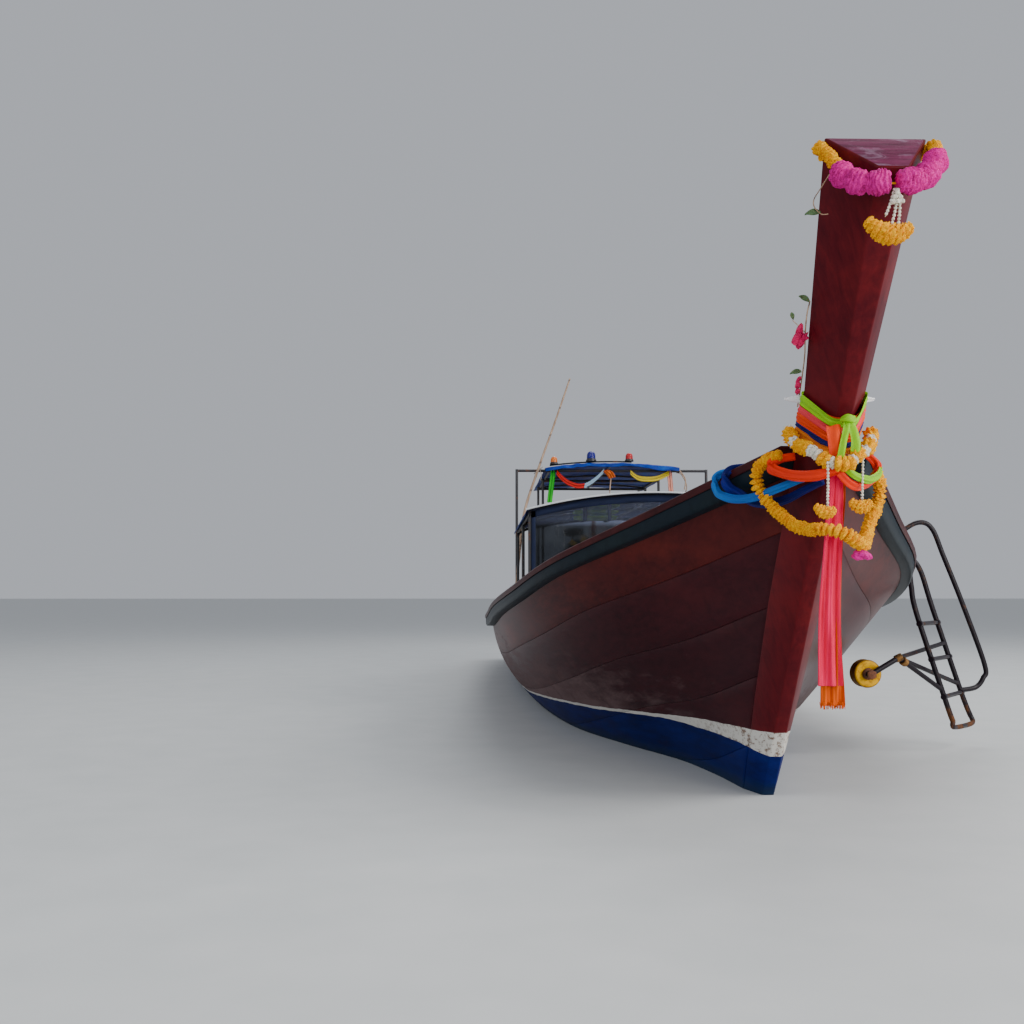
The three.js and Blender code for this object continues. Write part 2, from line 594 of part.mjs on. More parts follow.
// Boarding ladder hooked over the port gunwale, held off the planks by a round fender
{
  const bar = 15;
  const hook = (x) => gunwaleAt(x).top + bar - 6;
  const inboard = (x) => gunwaleAt(x).inner + 40;
  const leftX = 3850;
  const rightX = 3550;
  const railX = 3500;
  const left = [[leftX, 1384, 170], [leftX, 1345, 285], [leftX, 1190, 780], [leftX, 1164, 930],
    [leftX, 1150, 1030], [leftX, 1105, 1072], [leftX, 1050, 1050], [leftX, inboard(leftX), hook(leftX)]];
  const right = [[rightX, 1610, 170], [rightX, 1556, 315], [rightX, 1400, 800], [rightX, 1330, 1030],
    [rightX, 1265, 1100], [rightX, 1170, 1100], [rightX, inboard(rightX), hook(rightX)]];
  const loop = [[rightX - 4, 1556, 322], [railX, 1665, 335], [railX - 5, 1715, 390], [railX - 5, 1725, 470],
    [railX, 1600, 830], [railX, 1490, 1120], [railX, 1432, 1270], [railX, 1370, 1316], [railX, 1285, 1290],
    [railX, 1190, 1190], [railX, inboard(railX), hook(railX)]];
  const along = (points, z) => {
    const i = points.findIndex((p, k) => k > 0 && p[2] >= z);
    const t = (z - points[i - 1][2]) / (points[i][2] - points[i - 1][2]);
    return points[i - 1].map((v, k) => THREE.MathUtils.lerp(v, points[i][k], t));
  };
  const rungHeights = [310, 520, 720];
  const knee = [4045, 1012, 540];
  const roller = { x: 3990, y: 845, z: 452 }; // middle of the fender, which turns on a fore and aft axle
  const axleFore = [roller.x + 102, roller.y, roller.z];
  const axleAft = [roller.x - 65, roller.y, roller.z];
  const bars = [bentBar(left, bar, 18, 6), bentBar(right, bar, 18, 6), bentBar(loop, bar, 26, 6)];
  const step = [[leftX, 1384, 172], [leftX - 20, 1398, 138], [rightX + 40, 1600, 134], [rightX, 1610, 172]];
  bars.push(bentBar(step, bar - 1, 8, 6));
  for (const z of rungHeights) bars.push(rod(along(left, z), along(right, z), bar - 2, 8));
  bars.push(rod(axleAft, axleFore, bar + 2, 8));
  bars.push(rod([roller.x + 88, roller.y, roller.z], knee, bar, 8));
  for (const end of [along(left, 350), along(right, 360), along(right, 600)]) {
    bars.push(rod(knee, end, bar - 2, 8));
  }
  addPiece('bow_ladder', join(...bars), darkSteel);
  const profile = [[17.8, -42], [62, -48], [74, -43], [77, -34], [77, 34], [74, 43], [62, 48], [17.8, 42],
    [17.8, -42]];
  const float = new THREE.LatheGeometry(profile.map(([r, h]) => new THREE.Vector2(r, h)), 16);
  float.rotateZ(Math.PI / 2).translate(roller.x, roller.y, roller.z);
  addPiece('ladder_fender', float, yellowPlastic);
}

// Engine post: a socket on the stern beam, and a yoke that turns in it
const pivotX = -5050;
const socketHeight = 150;
const plateThick = 12;
const socketTop = beamTop + gap + plateThick + socketHeight;
const yokePlateLow = socketTop + 15;
const yokePlateThick = 16;
const pivotZ = yokePlateLow + yokePlateThick + 150;
const cheekInner = 205;
const cheekThick = 16;
{
  const base = beamTop + gap;
  const plate = box(176, 240, plateThick, pivotX, 0, base + plateThick / 2);
  const sleeve = rod([pivotX, 0, base + 6], [pivotX, 0, socketTop], 46, 20);
  const gussetHeight = 90;
  const gussets = [{ length: 8, width: 210 }, { length: 158, width: 8 }].map(({ length, width }) => (
    box(length, width, gussetHeight, pivotX, 0, base + plateThick - 1 + gussetHeight / 2)));
  const bore = rod([pivotX, 0, base + plateThick + 4], [pivotX, 0, socketTop + 10], 30, 20);
  addPiece('engine_socket', join(plate, sleeve, ...gussets).subtract(toManifold(bore)), paleSteel);
  const pin = rod([pivotX, 0, base + plateThick + 12], [pivotX, 0, yokePlateLow + 4], 28, 20);
  const collar = rod([pivotX, 0, socketTop + gap], [pivotX, 0, yokePlateLow + 4], 62, 20);
  const cheekOuter = cheekInner + cheekThick;
  const cheekHeight = 190;
  const deck = box(110, 2 * cheekOuter, yokePlateThick, pivotX, 0, yokePlateLow + yokePlateThick / 2);
  const cheeks = [-1, 1].map((side) => box(96, cheekThick, cheekHeight + yokePlateThick - 4, pivotX,
    side * (cheekInner + cheekThick / 2), yokePlateLow + (cheekHeight + yokePlateThick) / 2));
  const hole = rod([pivotX, -300, pivotZ], [pivotX, 300, pivotZ], 18.75, 16);
  addPiece('engine_yoke', join(pin, collar, deck, ...cheeks).subtract(toManifold(hole)), paleSteel);
}

// Engine and tail, in a frame whose origin is the trunnion axis. X runs along the crankshaft.
const tailDown = 8; // degrees below level, as parked with the propeller clear of the water
const crankZ = 100;
const tailLength = 3800;
const shaft = 38;
const engine = new THREE.Group();
engine.position.set(pivotX, 0, pivotZ);
engine.rotation.y = THREE.MathUtils.degToRad(-tailDown);
boat.add(engine);

{
  const railY = 160;
  const rails = [-1, 1].map((side) => box(1330, 40, 56, 145, side * railY, 0));
  const ties = [-505, 790].map((x) => box(40, 2 * railY, 44, x, 0, -2));
  const reach = cheekInner + cheekThick + 4;
  const trunnions = [-1, 1].map((side) => rod([0, side * (railY + 10), 0], [0, side * reach, 0], 18, 16));
  const tiller = [[780, 0, 0], [960, 0, -18], [1250, 0, -45], [1560, 0, -52], [1720, 0, -50]];
  const tillerBar = bentBar(tiller, 17, 10);
  addPiece('engine_cradle', join(...rails, ...ties, ...trunnions, tillerBar), darkSteel, engine);
}
{
  const blockAft = -96;
  const blockFore = 500;
  const length = blockFore - blockAft;
  const middle = (blockFore + blockAft) / 2;
  const block = box(length, 250, 270, middle, 0, 165);
  const sump = box(330, 200, 110, 310, 0, -15);
  const head = box(length - 30, 210, 110, middle, 0, 350);
  const bell = new THREE.LatheGeometry([[0, 0], [150, 0], [150, 60], [112, 130], [64, 200], [0, 200]]
    .map(([r, h]) => new THREE.Vector2(r, h)), 20);
  bell.rotateZ(Math.PI / 2).translate(blockAft + 2, 0, crankZ);
  const feet = [-30, 420].map((x) => box(70, 2 * 175, 24, x, 0, 28 + gap + 12));
  const pulley = rod([blockFore - 2, 0, crankZ], [blockFore + 60, 0, crankZ], 92, 20);
  const pump = rod([blockFore - 2, 0, 290], [blockFore + 55, 0, 290], 58, 16);
  const starter = rod([-60, -170, 120], [180, -170, 120], 44, 12);
  const starterLug = box(90, 80, 50, 60, -130, 120);
  const dynamo = rod([330, 190, 250], [500, 190, 250], 62, 14);
  const dynamoLug = box(60, 100, 40, 415, 150, 230);
  const fittings = [pulley, pump, starter, starterLug, dynamo, dynamoLug];
  addPiece('engine_block', join(block, sump, head, bell, ...feet, ...fittings), engineIron, engine);
  const coverSection = new THREE.Shape();
  coverSection.moveTo(-85, 0);
  coverSection.lineTo(85, 0);
  coverSection.lineTo(85, 40);
  coverSection.absarc(45, 40, 40, 0, Math.PI / 2);
  coverSection.absarc(-45, 40, 40, Math.PI / 2, Math.PI);
  const coverLook = { depth: length - 90, bevelEnabled: false, curveSegments: 4 };
  const cover = new THREE.ExtrudeGeometry(coverSection, coverLook);
  cover.rotateX(Math.PI / 2).rotateZ(Math.PI / 2).translate(blockAft + 45, 0, 405 + gap);
  addPiece('rocker_cover', toManifold(cover), paleSteel, engine);
  const neck = rod([210, -60, 485 + 2 * gap], [210, -60, 540], 32, 12);
  const pan = rod([210, -60, 535], [210, -60, 605], 128, 20);
  addPiece('air_cleaner', join(neck, pan), darkSteel, engine);
  const manifoldBar = rod([-20, 129.2, 360], [430, 129.2, 360], 25, 10);
  const pipe = bentBar([[60, 131, 360], [30, 190, 380], [0, 215, 480], [-20, 222, 700], [-40, 222, 900],
    [-120, 222, 980], [-210, 222, 1000]], 27, 18);
  addPiece('exhaust', join(manifoldBar, pipe), paleSteel, engine);
}
{
  const tailAft = 60 - tailLength;
  const tube = rod([-294 - gap, 0, crankZ], [tailAft, 0, crankZ], shaft, 14);
  const flange = rod([-294 - gap, 0, crankZ], [-330, 0, crankZ], 70, 16);
  const bearing = rod([tailAft + 150, 0, crankZ], [tailAft, 0, crankZ], 50, 16);
  const finCorners = [[0, 0], [-360, 0], [-330, -250], [-250, -270], [-170, -120]];
  const finShape = new THREE.Shape(finCorners.map((p) => new THREE.Vector2(...p)));
  const fin = new THREE.ExtrudeGeometry(finShape, { depth: 10, bevelEnabled: false });
  fin.rotateX(Math.PI / 2).translate(tailAft + 400, 5, crankZ - shaft + 12);
  const brace = rod([-520, 0, 34.4], [-1180, 0, crankZ - 20], 14, 8);
  addPiece('tail_tube', join(tube, flange, bearing, fin, brace), paleSteel, engine);
  const hub = new THREE.LatheGeometry([[0, 0], [34, 0], [40, 20], [40, 84], [24, 116], [0, 120]]
    .map(([r, h]) => new THREE.Vector2(r, h)), 16);
  hub.rotateZ(Math.PI / 2).translate(tailAft - gap, 0, crankZ);
  const bladeRows = [
    { r: 24, chord: 66, thick: 16 },
    { r: 80, chord: 104, thick: 11 },
    { r: 140, chord: 118, thick: 8 },
    { r: 178, chord: 84, thick: 6 },
    { r: 190, chord: 30, thick: 5 },
  ];
  const bladeCorners = [[-0.5, 0], [-0.2, -0.5], [0.2, -0.5], [0.5, 0], [0.2, 0.5], [-0.2, 0.5]];
  const pitch = 300;
  const blade = loft(bladeRows.map(({ r, chord, thick }) => {
    const turn = Math.atan(pitch / (2 * Math.PI * Math.max(r, 60)));
    return bladeCorners.map(([a, b]) => {
      const [across, through] = [a * chord, b * thick];
      const x = across * Math.sin(turn) + through * Math.cos(turn);
      const y = across * Math.cos(turn) - through * Math.sin(turn);
      return new THREE.Vector3(x, y, r);
    });
  }));
  const blades = [0, 120, 240].map((turn) => (
    blade.clone().rotateX(THREE.MathUtils.degToRad(turn)).translate(tailAft - 60, 0, crankZ)));
  addPiece('propeller', join(hub, ...blades), bronze, engine);
}

// Ribbons wound round the stem: one collar that fits the post, and what hangs from it
const stemOutline = (z, out) => {
  const row = stemRows.findIndex((r) => r.front[1] > z);
  const [low, high] = [stemRows[row - 1], stemRows[row]];
  const t = (z - low.front[1]) / (high.front[1] - low.front[1]);
  const half = (side) => THREE.MathUtils.lerp(low[side], high[side], t);
  const front = bowFoot + aheadOf(z);
  const back = bowFoot + THREE.MathUtils.lerp(low.back[0], high.back[0], t);
  return [[back - out, half('backHalf') + out], [front + out, half('frontHalf') + out * 0.8],
    [front + out, -half('frontHalf') - out * 0.8], [back - out, -half('backHalf') - out]]
    .map(([x, y]) => new THREE.Vector3(x, y, z));
};
const collarLow = 1462;
const collarHigh = 1592;
{
  const bulges = [
    { z: collarLow, out: 26 },
    { z: 1500, out: 40 },
    { z: 1550, out: 36 },
    { z: collarHigh, out: 20 },
  ];
  const outer = toManifold(loft(bulges.map(({ z, out }) => stemOutline(z, out))));
  const inner = toManifold(loft([collarLow - 20, collarHigh + 8].map((z) => stemOutline(z, 2))));
  addPiece('ribbon_collar', outer.subtract(inner), orangeCloth);
}

// A closed ring of round section along a smooth closed curve
function ringBar(points, radius, steps, sides = 8) {
  const path = new THREE.CatmullRomCurve3(points.map((p) => new THREE.Vector3(...p)), true);
  const frames = path.computeFrenetFrames(steps, true);
  const rings = Array.from({ length: steps }, (_, i) => {
    const centre = path.getPointAt(i / steps);
    return Array.from({ length: sides }, (__, k) => {
      const turn = k / sides * Math.PI * 2;
      return centre.clone().addScaledVector(frames.normals[i], radius * Math.cos(turn))
        .addScaledVector(frames.binormals[i], radius * Math.sin(turn));
    });
  });
  return loft(rings, true);
}
const headRing = [
  [6677.6, 0, 2285], [6704.6, -188, 2316], [6802.6, -197, 2343], [6824.6, -170, 2285], [6866.6, -130, 2210],
  [6916.6, -84, 2160], [6948.6, -41, 2148], [6952.6, 13, 2146], [6938.6, 75, 2172], [6896.6, 130, 2237],
  [6838.6, 180, 2305], [6798.6, 198, 2343], [6704.6, 188, 2316],
];
addPiece('head_garland', ringBar(headRing, 33, 30), marigold);

const longStrand = [
  [6195, -166.6, 1509], [6178, -197, 1440], [6114, -230, 1392], [6060, -237, 1342], [6060, -208, 1266],
  [6120, -173, 1196], [6200, -133, 1144], [6300, -106, 1122], [6385, -104, 1118], [6441, -52, 1112],
  [6447, -4, 1090], [6408, 50, 1062], [6300, 99, 1103], [6200, 157, 1163], [6130, 206, 1224],
  [6112, 226, 1284], [6140, 216, 1345], [6178, 196, 1430], [6195, 166.6, 1509],
];
addPiece('marigold_garland', bentBar(longStrand, 27, 40), marigold);

// Sash that hangs down the stem's front, as levels with its middle and half sizes
const pinkSash = {
  x: 6362,
  levels: [
    { z: 1461, y: -10, half: 34, deep: 14 },
    { z: 1380, y: -14, half: 30, deep: 16 },
    { z: 1000, y: -36, half: 40, deep: 20 },
    { z: 600, y: -56, half: 48, deep: 24 },
    { z: 490, y: -54, half: 44, deep: 20 },
  ],
};
addPiece('pink_sash', loft(pinkSash.levels.map(({ z, y, half, deep }) => (
  [[-deep, -half], [deep, -half], [deep, half], [-deep, half]]
    .map(([ahead, across]) => new THREE.Vector3(pinkSash.x + ahead, y + across, z))))), pinkCloth);

const blueSash = [
  [5690, -298.6, 1409], [5718, -388.6, 1392], [5764, -379.1, 1330], [5812, -342.1, 1294],
  [5870, -276.1, 1266], [5930, -194.1, 1262], [6070, -112.1, 1258], [6190, -64.1, 1270], [6250, -32.1, 1292],
];
addPiece('blue_sash', bentBar(blueSash, 20, 18), blueCloth);

export default boat;
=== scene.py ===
# Wooden longtail boat. Metres, +X to the bow, +Y to port, z = 0 at the waterline.
import math
import random

import bmesh
import bpy
from mathutils import Matrix, Vector, noise


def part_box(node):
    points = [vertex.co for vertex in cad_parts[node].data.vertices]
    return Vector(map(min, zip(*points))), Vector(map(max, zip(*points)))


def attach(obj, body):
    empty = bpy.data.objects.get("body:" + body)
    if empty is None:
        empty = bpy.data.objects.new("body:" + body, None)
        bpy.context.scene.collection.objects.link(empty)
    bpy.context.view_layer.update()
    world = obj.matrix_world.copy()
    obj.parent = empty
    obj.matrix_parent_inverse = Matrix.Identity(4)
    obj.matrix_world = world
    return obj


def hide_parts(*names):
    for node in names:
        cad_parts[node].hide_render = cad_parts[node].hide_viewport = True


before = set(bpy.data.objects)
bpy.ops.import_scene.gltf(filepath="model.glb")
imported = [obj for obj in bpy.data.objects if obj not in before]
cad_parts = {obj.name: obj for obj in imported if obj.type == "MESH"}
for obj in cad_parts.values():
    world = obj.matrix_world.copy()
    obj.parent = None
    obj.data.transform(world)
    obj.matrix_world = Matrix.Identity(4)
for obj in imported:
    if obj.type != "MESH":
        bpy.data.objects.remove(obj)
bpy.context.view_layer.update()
scene = bpy.context.scene
dice = random.Random(11)

# Camera, 5.2 m ahead of the stem's foot and 0.9 m over the floor
photoView = {"place": (10.446, -1.275, 0.9), "pitch": 3.908, "heading": 88.5, "lens": 41.17}
cameraData = bpy.data.cameras.new("photo_camera")
cameraData.lens = photoView["lens"]
cameraData.sensor_width = 36
cameraData.clip_end = 900
camera = bpy.data.objects.new("photo_camera", cameraData)
camera.location = photoView["place"]
camera.rotation_euler = (math.radians(90 + photoView["pitch"]), 0, math.radians(photoView["heading"]))
scene.collection.objects.link(camera)
scene.camera = camera
print("camera placed")


# Node helpers for the finishes
def startMaterial(name, **values):
    mat = bpy.data.materials.new(name)
    mat.use_nodes = True
    shader = mat.node_tree.nodes["Principled BSDF"]
    for socket, value in values.items():
        shader.inputs[socket.replace("_", " ")].default_value = value
    return mat


def plug(mat, socket, value):
    if isinstance(value, bpy.types.NodeSocket):
        mat.node_tree.links.new(value, socket)
    elif hasattr(value, "__len__") and len(socket.default_value) == 4:
        socket.default_value = (*value[:3], 1)
    else:
        socket.default_value = value


def addNode(mat, kind, feeds=None, **settings):
    new = mat.node_tree.nodes.new("ShaderNode" + kind)
    for key, value in settings.items():
        setattr(new, key, value)
    for key, value in (feeds or {}).items():
        plug(mat, new.inputs[key], value)
    return new


def objectCoords(mat, scale=(1, 1, 1), move=(0, 0, 0)):
    coords = addNode(mat, "TexCoord").outputs["Object"]
    return addNode(mat, "Mapping", {0: coords, "Scale": scale, "Location": move}).outputs[0]


def uvCoords(mat, scale=(1, 1, 1)):
    coords = addNode(mat, "TexCoord").outputs["UV"]
    return addNode(mat, "Mapping", {0: coords, "Scale": scale}).outputs[0]


def axisOf(mat, vector, axis):
    return addNode(mat, "SeparateXYZ", {0: vector}).outputs[axis]


def noiseOf(mat, coords, scale, detail=4, roughness=0.55, distortion=0.0):
    feeds = {"Vector": coords, "Scale": scale, "Detail": detail, "Roughness": roughness,
             "Distortion": distortion}
    return addNode(mat, "TexNoise", feeds).outputs[0]


def calc(mat, operation, a, b):
    return addNode(mat, "Math", {0: a, 1: b}, operation=operation).outputs[0]


def spread(mat, value, low, high, newLow=0.0, newHigh=1.0):
    return addNode(mat, "MapRange", {0: value, 1: low, 2: high, 3: newLow, 4: newHigh}).outputs[0]


def mixOf(mat, share, a, b):
    return addNode(mat, "Mix", {0: share, 6: a, 7: b}, data_type="RGBA").outputs[2]


def rampOf(mat, value, *stops):
    ramp = addNode(mat, "ValToRGB", {0: value})
    points = ramp.color_ramp.elements
    while len(points) < len(stops):
        points.new(0.5)
    for point, (place, colour) in zip(points, stops):
        point.position = place
        point.color = (*colour, 1) if hasattr(colour, "__len__") else (colour, colour, colour, 1)
    return ramp.outputs[0]


def coat(mat, colour=None, roughness=None, height=None, strength=0.3, distance=0.002):
    sockets = mat.node_tree.nodes["Principled BSDF"].inputs
    bump = None
    if height is not None:
        bump = addNode(mat, "Bump", {"Height": height, "Strength": strength,
                                     "Distance": distance}).outputs[0]
    for socket, value in (("Base Color", colour), ("Roughness", roughness), ("Normal", bump)):
        if value is not None:
            plug(mat, sockets[socket], value)
    return mat


# Wood grain: fine streaks along one axis with a slight waver
def grainOf(mat, along=0, fine=42.0, slow=1.4, move=(0, 0, 0)):
    scale = [fine, fine, fine]
    scale[along] = slow
    coords = objectCoords(mat, scale=scale, move=move)
    return noiseOf(mat, coords, 1.0, detail=6, roughness=0.62, distortion=0.4)


# Boot stripe of the hull: height of its lower and upper edge at places along the boat
bootStripe = {
    "from": -5.3,
    "to": 5.5,
    "low": ((-5.3, 0.125), (1.38, 0.133), (2.39, 0.183), (2.86, 0.2), (3.56, 0.217), (4.26, 0.243),
            (4.7, 0.234), (5.11, 0.22), (5.42, 0.18)),
    "high": ((-5.3, 0.141), (1.38, 0.149), (2.39, 0.199), (2.86, 0.216), (3.56, 0.233), (4.26, 0.262),
             (4.7, 0.285), (5.11, 0.295), (5.42, 0.3)),
    "paint": (0.62, 0.6, 0.55),
}


def stripeEdge(mat, x, rows):
    low, high = bootStripe["from"], bootStripe["to"]
    share = spread(mat, x, low, high)
    return rampOf(mat, share, *[((place - low) / (high - low), height) for place, height in rows])


hullBlue = ((0.3, (0.0002, 0.0024, 0.05)), (0.62, (0.0006, 0.0075, 0.115)), (0.8, (0.006, 0.022, 0.14)))


# Paint of the planks and the stem: varnish above the boot stripe, blue below it
def hullPaint(name, dark, light, worn, along=0, gloss=0.36, wear=0.45, seed=0.0):
    mat = startMaterial(name, Coat_Weight=0.03, Coat_Roughness=0.15, Specular_IOR_Level=0.06)
    coords = objectCoords(mat)
    x, z = axisOf(mat, coords, 0), axisOf(mat, coords, 2)
    grain = grainOf(mat, along=along, fine=34, slow=1.1, move=(seed, seed * 2, 0))
    tone = noiseOf(mat, objectCoords(mat, scale=(0.5, 1.5, 1.5), move=(seed, 0, seed)), 1.6, detail=3)
    varnish = rampOf(mat, calc(mat, "MULTIPLY", grain, 0.6), (0.12, dark), (0.5, light))
    varnish = mixOf(mat, rampOf(mat, tone, (0.35, 0.0), (0.7, 0.55)), varnish, light)
    patchCoords = objectCoords(mat, scale=(0.8, 1.5, 2.6), move=(seed + 4, 0, seed))
    patches = noiseOf(mat, patchCoords, 1.4, detail=6, roughness=0.6)
    faded = (light[0] * 1.55, light[1] * 1.5, light[2] * 1.1)
    varnish = mixOf(mat, rampOf(mat, patches, (0.5, 0.0), (0.7, 0.5)), varnish, faded)
    # wear: long scuffs and salt haze, more of it behind the bow and low on the side
    scuffs = noiseOf(mat, objectCoords(mat, scale=(1.1, 6, 9), move=(seed, 3, seed)), 1.5, detail=8,
                     roughness=0.72)
    low = spread(mat, z, 0.15, 0.75, 1.0, 0.25)
    aft = spread(mat, x, 5.9, 3.3, 0.12, 1.0)
    reach = calc(mat, "MULTIPLY", calc(mat, "MULTIPLY", low, aft), wear)
    mask = rampOf(mat, calc(mat, "ADD", scuffs, calc(mat, "SUBTRACT", reach, 0.3)), (0.46, 0.0), (0.78, 1.0))
    side = mixOf(mat, mask, varnish, worn)
    drips = noiseOf(mat, objectCoords(mat, scale=(16, 16, 0.9), move=(seed, 0, 0)), 1.0, detail=4)
    side = mixOf(mat, rampOf(mat, drips, (0.56, 0.0), (0.75, 0.3)), side, [c * 0.35 for c in dark])
    # blue below the stripe, chalky, and darker close to the waterline
    chalk = noiseOf(mat, objectCoords(mat, scale=(1.2, 4, 7)), 2.2, detail=7, roughness=0.7)
    blue = rampOf(mat, chalk, *hullBlue)
    slime = spread(mat, z, 0.0, 0.07, 0.75, 0.0)
    blue = mixOf(mat, slime, blue, (0.012, 0.03, 0.045))
    flakes = noiseOf(mat, objectCoords(mat, scale=(9, 14, 14)), 3.0, detail=9, roughness=0.75)
    waver = calc(mat, "MULTIPLY", calc(mat, "SUBTRACT", noiseOf(mat, coords, 9.0, detail=2), 0.5), 0.012)
    height = calc(mat, "ADD", z, waver)
    under = calc(mat, "LESS_THAN", height, stripeEdge(mat, x, bootStripe["low"]))
    below = calc(mat, "LESS_THAN", height, stripeEdge(mat, x, bootStripe["high"]))
    flaked = calc(mat, "MULTIPLY", rampOf(mat, flakes, (0.5, 0.0), (0.6, 0.9)),
                  spread(mat, x, 4.55, 5.15, 0.12, 1.0))
    white = mixOf(mat, flaked, bootStripe["paint"], (0.15, 0.075, 0.04))
    colour = mixOf(mat, under, mixOf(mat, below, side, white), blue)
    rough = mixOf(mat, mask, (gloss, gloss, gloss), (0.62, 0.62, 0.62))
    rough = mixOf(mat, below, rough, (0.55, 0.55, 0.55))
    relief = mixOf(mat, 0.35, grain, flakes)
    return coat(mat, colour, rough, relief, strength=0.16, distance=0.003)


def bareWood(name, dark, light, along=0, rough=0.75, seed=0.0, gloss=0.0):
    mat = startMaterial(name, Coat_Weight=gloss, Coat_Roughness=0.25)
    grain = grainOf(mat, along=along, fine=48, slow=1.6, move=(seed, seed, seed))
    board = addNode(mat, "Attribute", attribute_name="board").outputs["Fac"]
    figure = calc(mat, "ADD", grain, calc(mat, "MULTIPLY", board, 0.22))
    colour = rampOf(mat, figure, (0.35, dark), (0.75, light))
    stains = noiseOf(mat, objectCoords(mat, move=(seed, 1, 2)), 2.6, detail=7, roughness=0.68)
    colour = mixOf(mat, rampOf(mat, stains, (0.5, 0.0), (0.72, 0.7)), colour, (0.05, 0.035, 0.025))
    roughness = rampOf(mat, stains, (0.3, rough), (0.8, rough - 0.2))
    return coat(mat, colour, roughness, grain, strength=0.35, distance=0.0025)


def paintedMetal(name, colour, rust=0.35, rough=0.4, metal=0.0, seed=0.0, rustColour=(0.2, 0.06, 0.02),
                 shine=0.5, foot=None):
    mat = startMaterial(name, Metallic=metal, Specular_IOR_Level=shine)
    patches = noiseOf(mat, objectCoords(mat, move=(seed, seed, 0)), 13, detail=9, roughness=0.7)
    fine = noiseOf(mat, objectCoords(mat), 90, detail=4)
    if foot:  # more rust towards the foot
        height = axisOf(mat, objectCoords(mat), 2)
        patches = calc(mat, "ADD", patches, spread(mat, height, foot[0], foot[1], 0.0, 0.14))
    share = rampOf(mat, patches, (0.62 - 0.3 * rust, 0.0), (0.72 - 0.2 * rust, 1.0))
    paint = rampOf(mat, fine, (0.3, [c * 0.8 for c in colour]), (0.7, colour))
    oxide = rampOf(mat, fine, (0.35, [c * 0.4 for c in rustColour]), (0.65, rustColour))
    roughness = rampOf(mat, share, (0.0, rough), (1.0, 0.88))
    relief = mixOf(mat, 0.5, patches, fine)
    return coat(mat, mixOf(mat, share, paint, oxide), roughness, relief, 0.25, 0.0012)


# Woven cloth. Its threads follow the piece's own UV map, in metres. Its colour holds painted shade in the
# fold hollows and, where given, a painted highlight on the fold crests.
def cloth(name, colour, shade=None, threads=900, rough=0.85, sheen=0.4, litColour=None, shadeBlend=0.35,
          creases=(2.5, 22)):
    mat = startMaterial(name, Sheen_Weight=sheen * 0.4, Sheen_Roughness=0.45, Specular_IOR_Level=0.15)
    folds = noiseOf(mat, uvCoords(mat, (*creases, 1)), 1.5, detail=5, roughness=0.6)
    wave = {"Vector": uvCoords(mat), "Scale": threads * 0.16}
    across, down = [addNode(mat, "TexWave", wave, bands_direction=way).outputs[1] for way in "XY"]
    # painted shade: the shade colour, by default a darker copy of the colour, fills the fold hollows; the
    # bright colour is a painted highlight on the crests
    shade = shade or [c * 0.45 for c in colour]
    tone = rampOf(mat, folds, (0.28, shade), (0.28 + shadeBlend, colour), (0.8, litColour or colour))
    return coat(mat, tone, rough, mixOf(mat, 0.4, folds, mixOf(mat, 0.5, across, down)), 0.35, 0.0016)


# Piece helpers
def finishPiece(bm, name, materials, replaced=None, body="boat", smooth=35):
    mesh = bpy.data.meshes.new(name)
    bm.to_mesh(mesh)
    bm.free()
    for mat in materials if isinstance(materials, list) else [materials]:
        mesh.materials.append(mat)
    mesh.polygons.foreach_set("use_smooth", [True] * len(mesh.polygons))
    mesh.set_sharp_from_angle(angle=math.radians(smooth))
    piece = bpy.data.objects.new(name, mesh)
    scene.collection.objects.link(piece)
    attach(piece, body)
    if replaced:
        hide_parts(replaced)
    return piece


def thicken(piece, thick):
    wall = piece.modifiers.new("thickness", "SOLIDIFY")
    wall.thickness = thick
    wall.offset = 0


def soften(piece, levels=1):
    subsurf = piece.modifiers.new("softness", "SUBSURF")
    subsurf.levels = levels
    subsurf.render_levels = levels


# A CAD node's shape as one joined mesh with its flat faces whole
def cadShape(nodeName, flatten=1.0):
    bm = bmesh.new()
    bm.from_mesh(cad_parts[nodeName].data)
    bmesh.ops.remove_doubles(bm, verts=bm.verts, dist=0.00005)
    bmesh.ops.dissolve_limit(bm, angle_limit=math.radians(flatten), verts=bm.verts, edges=bm.edges)
    bmesh.ops.recalc_face_normals(bm, faces=bm.faces)
    return bm


def roundEdges(bm, width, segments=2, angle=40):
    sharp = [e for e in bm.edges if len(e.link_faces) == 2 and e.calc_face_angle(0) > math.radians(angle)]
    bmesh.ops.bevel(bm, geom=sharp, offset=width, offset_type="OFFSET", segments=segments, profile=0.5,
                    affect="EDGES", material=-1, clamp_overlap=True)


# A skin over equal rings of points, drawn on a grid whose rows are moved to the rings
def sweep(rings, closed=True):
    columns = len(rings) - 1
    rows = len(rings[0]) - (0 if closed else 1)
    bm = bmesh.new()
    bm.loops.layers.uv.new("UVMap")
    bmesh.ops.create_grid(bm, x_segments=columns, y_segments=rows, size=1, calc_uvs=True)
    for v in bm.verts:
        ring = rings[round((v.co.x + 1) / 2 * columns)]
        v.co = ring[round((v.co.y + 1) / 2 * rows) % len(ring)]
    if closed:
        bmesh.ops.remove_doubles(bm, verts=bm.verts, dist=1e-6)
        bmesh.ops.holes_fill(bm, edges=[e for e in bm.edges if e.is_boundary])
        bmesh.ops.recalc_face_normals(bm, faces=bm.faces)
    return bm


def bothSides(rings):
    port, starboard = sweep(rings), sweep(rings)
    bmesh.ops.scale(starboard, vec=(1, -1, 1), verts=starboard.verts)
    bmesh.ops.recalc_face_normals(starboard, faces=starboard.faces)
    return ("port", port), ("starboard", starboard)


# The UV map's size in metres
def sizeUv(bm, length, width):
    uv = bm.loops.layers.uv.active
    for face in bm.faces:
        for loop in face.loops:
            loop[uv].uv = (loop[uv].uv.x * length, loop[uv].uv.y * width)


